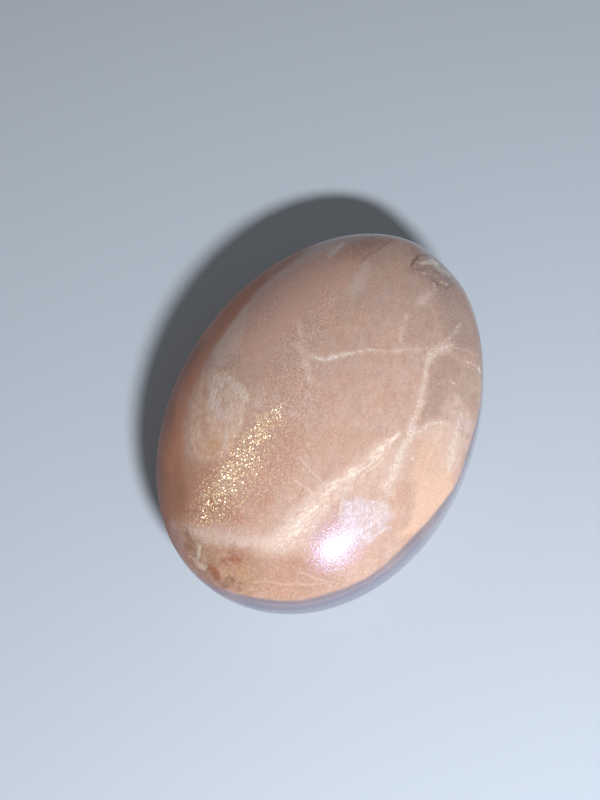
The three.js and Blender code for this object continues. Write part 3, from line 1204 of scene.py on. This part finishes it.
@dataclass(frozen=True)
class Relief:
    """Low relief of the polished surface, in millimetres, which only a fine mesh holds."""

    swell: float = 0.02
    swell_length: float = 9.0
    swell_seed: int = 31
    step_share: float = 0.4
    step_length: float = 0.8
    step_seed: int = 32
    dip_slope: float = 0.7
    chips: tuple[Chip, ...] = (
        Chip((29.4, -7.4, 17.2), 1.1, 0.16),
        Chip((27.2, -9.2, 18.0), 0.9, 0.12),
        Chip((28.2, -4.4, 18.4), 0.9, 0.08),
        Chip((14.3, -20.0, 16.9), 0.8, 0.14),
        Chip((-29.8, 8.2, 13.8), 0.9, 0.12),
        Chip((-31.0, 2.4, 14.4), 0.7, 0.08),
    )

    def pressed(self, points: np.ndarray, normals: np.ndarray) -> np.ndarray:
        """Vertices moved in along their normals: a slow swell, and a rounded dip at each chip.

        A dip's depth is its full depth times the eased share of the way in from its edge, with a
        fine ripple so that its floor is stepped like broken feldspar. The flat spot stays flat.

        Args:
            points: Vertices in millimetres.
            normals: Unit normals that point out.

        Returns:
            The moved vertices.
        """
        depth = self.swell * (1 + Ripple(self.swell_length, self.swell_seed).at(points)) / 2
        steps = 1 + self.step_share * Ripple(self.step_length, self.step_seed).at(points)
        for chip in self.chips:
            away = np.linalg.norm(points - np.array(chip.middle), axis=1) / chip.radius
            depth = depth + chip.depth * ease(0.0, self.dip_slope, 1 - away) * steps
        depth = depth * ease(0.0, 1.0, points[:, 2])
        return points - normals * depth[:, None]


def vertex_normals(points: np.ndarray, squares: np.ndarray) -> np.ndarray:
    """Unit normal at each vertex: the summed cross products of the squares that meet there.

    Args:
        points: Vertices in millimetres.
        squares: The four corners of each square.

    Returns:
        A unit normal per vertex, which points out.
    """
    corners = points[squares]
    crossed = np.cross(corners[:, 2] - corners[:, 0], corners[:, 3] - corners[:, 1])
    total = np.zeros_like(points)
    for corner in range(4):
        np.add.at(total, squares[:, corner], crossed)
    return total / np.linalg.norm(total, axis=1, keepdims=True)


def linear(hex_colour: str) -> Colour:
    """sRGB hex value, such as C8A491, as linear red, green, blue and alpha.

    A share under the curve's bend is divided by its slope. Any other is shifted, divided so that one
    stays one, and raised to the curve's power.

    Args:
        hex_colour: Six hex digits.

    Returns:
        The colour, opaque.
    """
    parts = [int(hex_colour[start : start + 2], 16) / 255 for start in (0, 2, 4)]
    straight = [
        part / SRGB_SLOPE
        if part <= SRGB_BEND
        else ((part + SRGB_SHIFT) / (1 + SRGB_SHIFT)) ** SRGB_POWER
        for part in parts
    ]
    return (*straight, 1.0)


def add_node(
    tree: bpy.types.NodeTree,
    kind: str,
    inputs: dict[str | int, object] | None = None,
    output: str | int | None = 0,
    **settings: object,
) -> bpy.types.NodeSocket | bpy.types.Node:
    """Adds a shader node, with its settings, and its inputs set to a value or linked to a socket.

    Args:
        tree: The material's node tree.
        kind: The node's type name, without its first word.
        inputs: A value or an output socket for each named or numbered input.
        output: Name or number of the output to hand back, or None for the node itself.
        **settings: Values of the node's own properties.

    Returns:
        The output socket, or the node.
    """
    node = tree.nodes.new(f"ShaderNode{kind}")
    for name, value in settings.items():
        setattr(node, name, value)
    for name, value in (inputs or {}).items():
        if isinstance(value, bpy.types.NodeSocket):
            tree.links.new(value, node.inputs[name])
        else:
            node.inputs[name].default_value = value
    return node if output is None else node.outputs[output]


@dataclass(frozen=True)
class Weave:
    """How a texture is drawn: grain size in millimetres, the way its fibres run, and its fineness."""

    grain_mm: float
    turn: float
    stretch: float
    detail: float
    roughness: float = 0.6
    darkest: float = 0.32
    palest: float = 0.68


class Texture(Enum):
    """Fine textures that break up the markings. The value says how each is drawn."""

    FROST = Weave(0.3, 0.0, 1.0, 2.0)
    WISPS = Weave(0.3, 12.0, 3.5, 3.0)
    SWEEP = Weave(0.28, -22.0, 4.5, 3.0)
    FIBRES = Weave(0.8, 14.0, 3.0, 4.0)
    RAKES = Weave(0.8, -22.0, 3.0, 4.0)
    MOTTLE = Weave(1.1, 10.0, 1.5, 4.0)
    CLOUD = Weave(4.0, 24.0, 1.5, 4.0, 0.5)


@dataclass(frozen=True)
class Layer:
    """Paint for one tone: its sRGB colour, what breaks it up, and how its cover grows.

    The cover begins where the worn mask passes thin, and reaches the top where it passes full.
    """

    tone: Tone
    paint: str
    texture: Texture
    raggedness: float
    thin: float
    full: float
    top: float


@dataclass(frozen=True)
class Grain:
    """Fine grain of the body: its paint, where in the noise it begins and is full, and its share.

    The share grows from plain to rich under the copper grain's mask.
    """

    paint: str
    begins: float
    full: float
    plain: float
    rich: float


@dataclass(frozen=True)
class Fleck:
    """Kind of platelet: its mask, its two paints, the random number that places it, how many there
    are, and how far one covers the stone.
    """

    tone: Tone
    paint: str
    second_paint: str
    channel: int
    density: float
    top: float


@dataclass(frozen=True)
class PeachMoonstone:
    """Peach moonstone, cut and tumbled, then polished by hand to a glassy gloss.

    A glassy skin lies over a milky, faintly translucent body, so that lamps give a crisp highlight
    with a soft lavender glow round it, and the veins seem to lie just under the surface.
    """

    name: str = "peach_moonstone_tumbled_and_hand_polished"
    body_warm: str = "C8A28F"
    body_grey: str = "C0A297"
    milk: str = "DCC4B8"
    milkiness: float = 0.4
    gleam: str = "A4B0FF"
    layers: tuple[Layer, ...] = (
        Layer(Tone.ROSE, "DAB0A1", Texture.CLOUD, 0.25, 0.0, 1.0, 0.9),
        # Bright peach of the windows, partly painted glow of lamplight
        Layer(Tone.WINDOW, "E0BEA9", Texture.CLOUD, 0.25, 0.0, 1.0, 0.9),
        Layer(Tone.HAZE, "A5928B", Texture.CLOUD, 0.25, 0.0, 1.0, 0.9),
        Layer(Tone.OLIVE, "A4846B", Texture.MOTTLE, 0.5, 0.0, 1.1, 0.9),
        Layer(Tone.VEIL, "DCC4B9", Texture.MOTTLE, 0.45, 0.0, 1.2, 0.75),
        Layer(Tone.OAT, "D2A890", Texture.MOTTLE, 0.3, 0.1, 0.9, 0.9),
        Layer(Tone.OAT, "F0D2BF", Texture.MOTTLE, 1.0, 0.4, 1.7, 0.5),
        Layer(Tone.OAT, "F6E2D6", Texture.WISPS, 1.0, 0.8, 1.9, 0.25),
        Layer(Tone.BLUSH, "BA8A73", Texture.MOTTLE, 0.2, 0.0, 1.1, 0.95),
        Layer(Tone.AMBER, "C99F78", Texture.MOTTLE, 0.8, 0.1, 1.3, 0.8),
        Layer(Tone.SMOKE, "7C5D4F", Texture.MOTTLE, 0.5, 0.1, 1.3, 0.8),
        Layer(Tone.CREAM, "C9BEA8", Texture.MOTTLE, 0.35, 0.1, 0.9, 0.75),
        # Painted lavender sheen, in a pale mottle and brighter strands
        Layer(Tone.GLOW, "D8D0DA", Texture.MOTTLE, 0.35, 0.0, 1.1, 0.6),
        Layer(Tone.GLOW, "F6E9F8", Texture.WISPS, 1.0, 0.8, 1.6, 0.6),
        Layer(Tone.WISPS, "D5BFB4", Texture.FIBRES, 0.7, 0.05, 1.2, 0.65),
        Layer(Tone.WISPS, "F2E6DE", Texture.WISPS, 1.0, 0.5, 1.5, 0.6),
        Layer(Tone.SWEEP, "DFC8BC", Texture.RAKES, 0.6, 0.05, 1.2, 0.65),
        Layer(Tone.SWEEP, "F9EDE3", Texture.SWEEP, 1.0, 0.5, 1.6, 0.6),
        Layer(Tone.RUST, "985A3E", Texture.MOTTLE, 0.7, 0.1, 1.3, 0.85),
        Layer(Tone.FROST, "DDCABF", Texture.MOTTLE, 0.35, 0.05, 1.0, 0.65),
        Layer(Tone.FROST, "FAF0E8", Texture.FROST, 1.0, 0.55, 1.4, 0.7),
    )
    # Side walls: own red-brown with painted shade at the left, and painted lavender reflection and shade at
    # the lower right
    walls: tuple[Layer, ...] = (
        Layer(Tone.SHADED_WALL, "CA8C6E", Texture.CLOUD, 0.3, 0.0, 1.0, 0.95),
        Layer(Tone.DARK_SHADED_WALL, "A2745E", Texture.CLOUD, 0.4, 0.0, 1.0, 0.95),
        Layer(Tone.WALL_REFLECTION, "767889", Texture.CLOUD, 0.1, 0.0, 1.0, 0.95),
    )
    grains: tuple[Grain, ...] = (
        Grain("A87663", 0.47, 0.3, 0.18, 0.5),
        Grain("EFD8CB", 0.54, 0.7, 0.22, 0.45),
    )
    # Real grain is about 0.1 mm, under one pixel of the photograph, so it is drawn coarser
    grain_mm: float = 0.3
    grain_detail: float = 1.0
    flecks: tuple[Fleck, ...] = (
        Fleck(Tone.GRAIN, "F4B994", "FFDCC4", 2, 0.45, 0.55),
        # The pale second paint of the gold flecks is partly painted glint
        Fleck(Tone.GOLD, "D2B07C", "FFF6C0", 0, 1.0, 1.0),
    )
    # Real platelets are 0.02 to 0.3 mm, and the smaller ones wouldn't show, so all are drawn this large
    fleck_mm: float = 0.25
    fleck_paint_channel: int = 1
    fleck_rim: float = 0.55
    fleck_core: float = 0.2
    fleck_wobble_mm: float = 0.16
    fleck_wobble_length_mm: float = 0.4
    fleck_fade: float = 0.2
    fleck_metal: float = 0.25
    fleck_facing: tuple[float, float, float] = (-0.42, -0.34, 0.84)
    fleck_scatter: float = 0.4
    bend_mm: float = 0.5
    bend_length_mm: float = 3.0
    ior: float = 1.53
    body_roughness: float = 0.19
    body_specular: float = 0.35
    bump_strength: float = 0.4
    bump_mm: float = 0.03
    skin_roughness: float = 0.06
    wall_gloss: float = 0.05
    wall_roughness: float = 0.5
    wall_begins: float = 0.4
    depth_mm: float = 2.0
    depth_shares: tuple[float, float, float] = (1.0, 0.6, 0.4)
    translucency: float = 0.25
    break_begins: float = 0.2
    break_full: float = 0.8

    def build(self, laces: tuple[Lace, ...]) -> bpy.types.Material:
        """Makes the material's nodes: body colour, then markings, then flecks, then the finish.

        Args:
            laces: Sets of thin lines whose attributes the mesh carries.

        Returns:
            The material.
        """
        material = bpy.data.materials.new(self.name)
        material.use_nodes = True
        tree = material.node_tree
        tree.nodes.clear()
        place = add_node(tree, "TexCoord", output="Object")
        textures = self.textures(tree, place)
        colour = self.mixed(
            tree, textures[Texture.CLOUD], linear(self.body_grey), linear(self.body_warm)
        )
        milk = add_node(
            tree, "MapRange", {"Value": textures[Texture.MOTTLE], "To Max": self.milkiness}
        )
        colour = self.mixed(tree, milk, colour, linear(self.milk))
        for layer in self.layers:
            colour = self.laid_over(tree, colour, layer, textures[layer.texture])
        colour = self.grained(tree, colour, place)
        for layer in self.walls:
            colour = self.laid_over(tree, colour, layer, textures[layer.texture])
        for lace in laces:
            colour = self.threaded(tree, colour, lace, textures)
        colour, gold, tilt = self.flecked(tree, colour, place)
        normal = self.grained_normal(tree, textures[Texture.FROST], gold, tilt)
        self.polish(tree, colour, normal, gold)
        return material

    def pushed(
        self,
        tree: bpy.types.NodeTree,
        place: bpy.types.NodeSocket,
        distance_mm: float,
        length_mm: float,
    ) -> bpy.types.NodeSocket:
        """Places moved by smooth noise: place + (noise colour − a half) times the distance.

        Args:
            tree: The material's node tree.
            place: Object coordinates.
            distance_mm: How far a place can move, from end to end.
            length_mm: Size of the noise's waves.

        Returns:
            The moved places.
        """
        noise = add_node(tree, "TexNoise", {"Vector": place, "Scale": 1 / (length_mm * MM)}, "Color")
        distance = distance_mm * MM
        shift = add_node(
            tree,
            "VectorMath",
            {0: noise, 1: (distance,) * 3, 2: (-distance / 2,) * 3},
            operation="MULTIPLY_ADD",
        )
        return add_node(tree, "VectorMath", {0: place, 1: shift}, operation="ADD")

    def textures(
        self, tree: bpy.types.NodeTree, place: bpy.types.NodeSocket
    ) -> dict[Texture, bpy.types.NodeSocket]:
        """Noises from 0 to 1, on places bent by slow noise so that their fibres curve.

        Args:
            tree: The material's node tree.
            place: Object coordinates.

        Returns:
            A socket for each texture.
        """
        bent = self.pushed(tree, place, self.bend_mm, self.bend_length_mm)
        sockets = {}
        for texture in Texture:
            weave = texture.value
            drawn = add_node(
                tree,
                "Mapping",
                {
                    "Vector": bent,
                    "Rotation": (0, 0, math.radians(weave.turn)),
                    "Scale": (weave.stretch, 1, 1),
                },
                vector_type="TEXTURE",
            )
            noise = add_node(
                tree,
                "TexNoise",
                {
                    "Vector": drawn,
                    "Scale": 1 / (weave.grain_mm * MM),
                    "Detail": weave.detail,
                    "Roughness": weave.roughness,
                },
                "Fac",
            )
            sockets[texture] = add_node(
                tree, "MapRange", {"Value": noise, "From Min": weave.darkest, "From Max": weave.palest}
            )
        return sockets

    def grained(
        self, tree: bpy.types.NodeTree, colour: bpy.types.NodeSocket, place: bpy.types.NodeSocket
    ) -> bpy.types.NodeSocket:
        """Fine reddish and pale grain all over, richer under the copper grain's mask.

        Args:
            tree: The material's node tree.
            colour: The colour so far.
            place: Object coordinates.

        Returns:
            The new colour.
        """
        drawn = {"Vector": place, "Scale": 1 / (self.grain_mm * MM), "Detail": self.grain_detail}
        noise = add_node(tree, "TexNoise", drawn, "Fac")
        mask = add_node(tree, "Attribute", output="Fac", attribute_name=Tone.GRAIN.value)
        for grain in self.grains:
            reach = {"Value": noise, "From Min": grain.begins, "From Max": grain.full}
            speck = add_node(tree, "MapRange", reach)
            amount = add_node(
                tree, "MapRange", {"Value": mask, "To Min": grain.plain, "To Max": grain.rich}
            )
            share = add_node(tree, "Math", {0: speck, 1: amount}, operation="MULTIPLY")
            colour = self.mixed(tree, share, colour, linear(grain.paint))
        return colour

    def mixed(
        self,
        tree: bpy.types.NodeTree,
        share: bpy.types.NodeSocket,
        under: Colour | bpy.types.NodeSocket,
        over: Colour | bpy.types.NodeSocket,
    ) -> bpy.types.NodeSocket:
        """The under colour, with the over colour's share of it replaced."""
        low, high, result = COLOUR_SOCKETS
        return add_node(tree, "Mix", {0: share, low: under, high: over}, result, data_type="RGBA")

    def laid_over(
        self,
        tree: bpy.types.NodeTree,
        colour: bpy.types.NodeSocket,
        layer: Layer,
        texture: bpy.types.NodeSocket,
    ) -> bpy.types.NodeSocket:
        """Lays a layer over the colour: the mask times the texture, eased from thin to full.

        The texture is scaled to run from (1 less raggedness) to (1 plus raggedness).

        Args:
            tree: The material's node tree.
            colour: The colour so far.
            layer: What is laid.
            texture: The noise that breaks it up.

        Returns:
            The new colour.
        """
        mask = add_node(tree, "Attribute", output="Fac", attribute_name=layer.tone.value)
        shaken = add_node(
            tree,
            "Math",
            {0: texture, 1: 2 * layer.raggedness, 2: 1 - layer.raggedness},
            operation="MULTIPLY_ADD",
        )
        worn = add_node(tree, "Math", {0: mask, 1: shaken}, operation="MULTIPLY")
        share = add_node(
            tree,
            "MapRange",
            {"Value": worn, "From Min": layer.thin, "From Max": layer.full, "To Max": layer.top},
            interpolation_type="SMOOTHSTEP",
        )
        return self.mixed(tree, share, colour, linear(layer.paint))

    def threaded(
        self,
        tree: bpy.types.NodeTree,
        colour: bpy.types.NodeSocket,
        lace: Lace,
        textures: dict[Texture, bpy.types.NodeSocket],
    ) -> bpy.types.NodeSocket:
        """Draws one set of thin lines: full where the swayed offset is less than the half width.

        Args:
            tree: The material's node tree.
            colour: The colour so far.
            lace: The set of lines.
            textures: The noises, of which the frost sways them and the mottle breaks them.

        Returns:
            The new colour.
        """
        near = add_node(tree, "Attribute", output="Fac", attribute_name=f"{lace.name}_nearness")
        offset = add_node(tree, "Attribute", output="Fac", attribute_name=f"{lace.name}_offset")
        sway = add_node(
            tree,
            "Math",
            {0: textures[Texture.FROST], 1: lace.sway_mm, 2: -lace.sway_mm / 2},
            operation="MULTIPLY_ADD",
        )
        moved = add_node(tree, "Math", {0: offset, 1: sway}, operation="ADD")
        away = add_node(tree, "Math", {0: moved}, operation="ABSOLUTE")
        line = add_node(
            tree,
            "MapRange",
            {
                "Value": away,
                "From Min": lace.half_mm * (1 + lace.softness),
                "From Max": lace.half_mm * (1 - lace.softness),
            },
            interpolation_type="SMOOTHSTEP",
        )
        worn = {
            "Value": textures[Texture.MOTTLE],
            "From Min": self.break_begins,
            "From Max": self.break_full,
            "To Min": 1 - lace.breaks,
        }
        broken = add_node(tree, "MapRange", worn)
        kept = add_node(tree, "Math", {0: line, 1: broken}, operation="MULTIPLY")
        share = add_node(tree, "Math", {0: kept, 1: near}, operation="MULTIPLY")
        return self.mixed(tree, share, colour, linear(lace.paint))

    def flecked(
        self,
        tree: bpy.types.NodeTree,
        colour: bpy.types.NodeSocket,
        place: bpy.types.NodeSocket,
    ) -> tuple[bpy.types.NodeSocket, bpy.types.NodeSocket, bpy.types.NodeSocket]:
        """Tiny gold platelets, and a wider scatter of dull copper ones.

        Each cell of a Voronoi pattern holds one, if its random number is under the mask's density.
        Another of its random numbers mixes the two paints.

        Args:
            tree: The material's node tree.
            colour: The colour so far.
            place: Object coordinates.

        Returns:
            The colour with the flecks, the share of gold at a place, and each cell's random colour.
        """
        ragged = self.pushed(tree, place, self.fleck_wobble_mm, self.fleck_wobble_length_mm)
        cells = add_node(tree, "TexVoronoi", {"Vector": ragged, "Scale": 1 / (self.fleck_mm * MM)}, None)
        chance = add_node(tree, "SeparateColor", {0: cells.outputs["Color"]}, None)
        dot = add_node(
            tree,
            "MapRange",
            {
                "Value": cells.outputs["Distance"],
                "From Min": self.fleck_rim,
                "From Max": self.fleck_core,
            },
            interpolation_type="SMOOTHSTEP",
        )
        for fleck in self.flecks:
            mask = add_node(tree, "Attribute", output="Fac", attribute_name=fleck.tone.value)
            odds = add_node(tree, "Math", {0: mask, 1: fleck.density}, operation="MULTIPLY")
            drawn = chance.outputs[fleck.channel]
            margin = add_node(tree, "Math", {0: odds, 1: drawn}, operation="SUBTRACT")
            chosen = add_node(
                tree, "MapRange", {"Value": margin, "From Max": self.fleck_fade, "To Max": fleck.top}
            )
            share = add_node(tree, "Math", {0: chosen, 1: dot}, operation="MULTIPLY")
            paint = self.mixed(
                tree,
                chance.outputs[self.fleck_paint_channel],
                linear(fleck.paint),
                linear(fleck.second_paint),
            )
            colour = self.mixed(tree, share, colour, paint)
        return colour, share, cells.outputs["Color"]

    def grained_normal(
        self,
        tree: bpy.types.NodeTree,
        frost: bpy.types.NodeSocket,
        gold: bpy.types.NodeSocket,
        tilt: bpy.types.NodeSocket,
    ) -> bpy.types.NodeSocket:
        """Normal of the milky body: bumped by the frost, and turned to the crystal plane at flecks.

        Args:
            tree: The material's node tree.
            frost: The noise that bumps it.
            gold: Share of gold at a place.
            tilt: Random colour of each fleck, from which its tilt is taken.

        Returns:
            The normal.
        """
        bumped = add_node(
            tree,
            "Bump",
            {"Height": frost, "Strength": self.bump_strength, "Distance": self.bump_mm * MM},
            "Normal",
        )
        scatter = add_node(
            tree,
            "VectorMath",
            {0: tilt, 1: (self.fleck_scatter,) * 3, 2: (-self.fleck_scatter / 2,) * 3},
            operation="MULTIPLY_ADD",
        )
        facing = add_node(tree, "VectorMath", {0: scatter, 1: self.fleck_facing}, operation="ADD")
        low, high, result = VECTOR_SOCKETS
        turned = add_node(
            tree, "Mix", {0: gold, low: bumped, high: facing}, result, data_type="VECTOR"
        )
        return add_node(tree, "VectorMath", {0: turned}, operation="NORMALIZE")

    def polish(
        self,
        tree: bpy.types.NodeTree,
        colour: bpy.types.NodeSocket,
        normal: bpy.types.NodeSocket,
        gold: bpy.types.NodeSocket,
    ) -> None:
        """Milky scattering body with a soft lavender gleam, under a clear glassy skin.

        Args:
            tree: The material's node tree.
            colour: Colour of the body with all its markings.
            normal: Normal of the body.
            gold: Share of gold at a place, which is a little metallic.
        """
        metal = add_node(tree, "Math", {0: gold, 1: self.fleck_metal}, operation="MULTIPLY")
        wall = add_node(tree, "Attribute", output="Fac", attribute_name=Tone.SHADED_WALL.value)
        reach = {"Value": wall, "From Max": self.wall_begins}
        gloss = add_node(tree, "MapRange", reach | {"To Min": 1.0, "To Max": self.wall_gloss})
        rough = add_node(
            tree, "MapRange", reach | {"To Min": self.body_roughness, "To Max": self.wall_roughness}
        )
        shader = add_node(
            tree,
            "BsdfPrincipled",
            {
                "Base Color": colour,
                "Metallic": metal,
                "Roughness": rough,
                "IOR": self.ior,
                "Normal": normal,
                "Subsurface Weight": self.translucency,
                "Subsurface Radius": self.depth_shares,
                "Subsurface Scale": self.depth_mm * MM,
                "Specular IOR Level": self.body_specular,
                "Specular Tint": linear(self.gleam),
                "Coat Weight": gloss,
                "Coat Roughness": self.skin_roughness,
                "Coat IOR": self.ior,
            },
            "BSDF",
        )
        add_node(tree, "OutputMaterial", {"Surface": shader}, None)


@dataclass
class PalmStone:
    """The polished stone itself: one closed skin with its relief, its markings and its finish."""

    form: StoneForm
    relief: Relief
    markings: Markings
    finish: PeachMoonstone
    view: PhotoView
    name: str = "polished_stone"

    def make(self) -> bpy.types.Object:
        """Builds the stone's mesh, dresses it, and fits it to the frame.

        Returns:
            The finished object, at the origin.
        """
        points, squares, centre = self.form.skin()
        sight = Sight(self.form, self.view, centre)
        points = self.relief.pressed(points, vertex_normals(points, squares))
        mesh = bpy.data.meshes.new(self.name)
        mesh.from_pydata((points * MM).tolist(), [], squares.tolist())
        mesh.polygons.foreach_set("use_smooth", np.ones(len(squares), dtype=bool))
        for name, cover in self.markings.masks(points, sight).items():
            layer = mesh.attributes.new(name, "FLOAT", "POINT")
            layer.data.foreach_set("value", cover.astype(np.float32))
        mesh.update()
        stone = bpy.data.objects.new(self.name, mesh)
        bpy.context.scene.collection.objects.link(stone)
        mesh.materials.append(self.finish.build(self.markings.laces))
        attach(stone, "root")
        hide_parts(NODE)
        log.info("%s: %d vertices, %d squares", stone.name, len(points), len(squares))
        return stone


@dataclass(frozen=True)
class Softbox:
    """Oval area lamp that faces the stone: where it stands, its size in metres and its light."""

    name: str
    toward: Bead
    along: Bead
    distance: float
    length: float
    breadth: float
    watts: float
    colour: str
    aim_height: float = 0.014

    def make(self) -> bpy.types.Object:
        """Places the lamp along its direction, facing the stone, with its long side the given way.

        Returns:
            The lamp object.
        """
        data = bpy.data.lights.new(self.name, "AREA")
        data.shape = "ELLIPSE"
        data.size = self.length
        data.size_y = self.breadth
        data.energy = self.watts
        data.color = linear(self.colour)[:3]
        lamp = bpy.data.objects.new(self.name, data)
        heading = Vector(self.toward).normalized()
        side = Vector(self.along)
        side = (side - heading * heading.dot(side)).normalized()
        turn = Matrix((side, heading.cross(side), heading)).transposed()
        lamp.location = heading * self.distance + Vector((0.0, 0.0, self.aim_height))
        lamp.rotation_mode = "QUATERNION"
        lamp.rotation_quaternion = turn.to_quaternion()
        bpy.context.scene.collection.objects.link(lamp)
        log.info("%s: %.2f W at %.2f m", self.name, self.watts, self.distance)
        return lamp


@dataclass(frozen=True)
class Studio:
    """Plain pale floor, a soft lamp and an even pale room light."""

    floor_colour: str = "BECAD8"
    floor_roughness: float = 0.8
    floor_size: float = 4.0
    floor_gap: float = 0.00005
    room_colour: str = "F4F0EC"
    room_strength: float = 0.19
    lamps: tuple[Softbox, ...] = (
        Softbox(
            "key_softbox", (-0.533, -0.52, 0.70), (0.30, -0.95, 0.10), 0.37, 0.07, 0.03, 1.64, "FFFFFF"
        ),
    )

    def make(self) -> None:
        """Builds the floor, the lamps and the room light."""
        half = self.floor_size / 2
        corners = [(-half, -half), (half, -half), (half, half), (-half, half)]
        mesh = bpy.data.meshes.new("floor")
        mesh.from_pydata([(x, y, -self.floor_gap) for x, y in corners], [], [(0, 1, 2, 3)])
        floor = bpy.data.objects.new("floor", mesh)
        bpy.context.scene.collection.objects.link(floor)
        mesh.materials.append(self.paper())
        for lamp in self.lamps:
            lamp.make()
        world = bpy.data.worlds.new("pale_room")
        world.use_nodes = True
        sky = world.node_tree.nodes["Background"]
        sky.inputs["Color"].default_value = linear(self.room_colour)
        sky.inputs["Strength"].default_value = self.room_strength
        bpy.context.scene.world = world
        bpy.context.scene.view_settings.view_transform = "Standard"

    def paper(self) -> bpy.types.Material:
        """Matt coated paper, which gives an even pale ground.

        Returns:
            The material.
        """
        material = bpy.data.materials.new("pale_matt_paper")
        material.use_nodes = True
        shader = material.node_tree.nodes["Principled BSDF"]
        shader.inputs["Base Color"].default_value = linear(self.floor_colour)
        shader.inputs["Roughness"].default_value = self.floor_roughness
        return material


def main() -> None:
    """Builds the stone, the camera and the studio, in that order."""
    view = PhotoView()
    stone = PalmStone(StoneForm.from_frame(), Relief(), Markings(), PeachMoonstone(), view)
    stone.make()
    view.make()
    Studio().make()


if __name__ == "__main__":
    main()
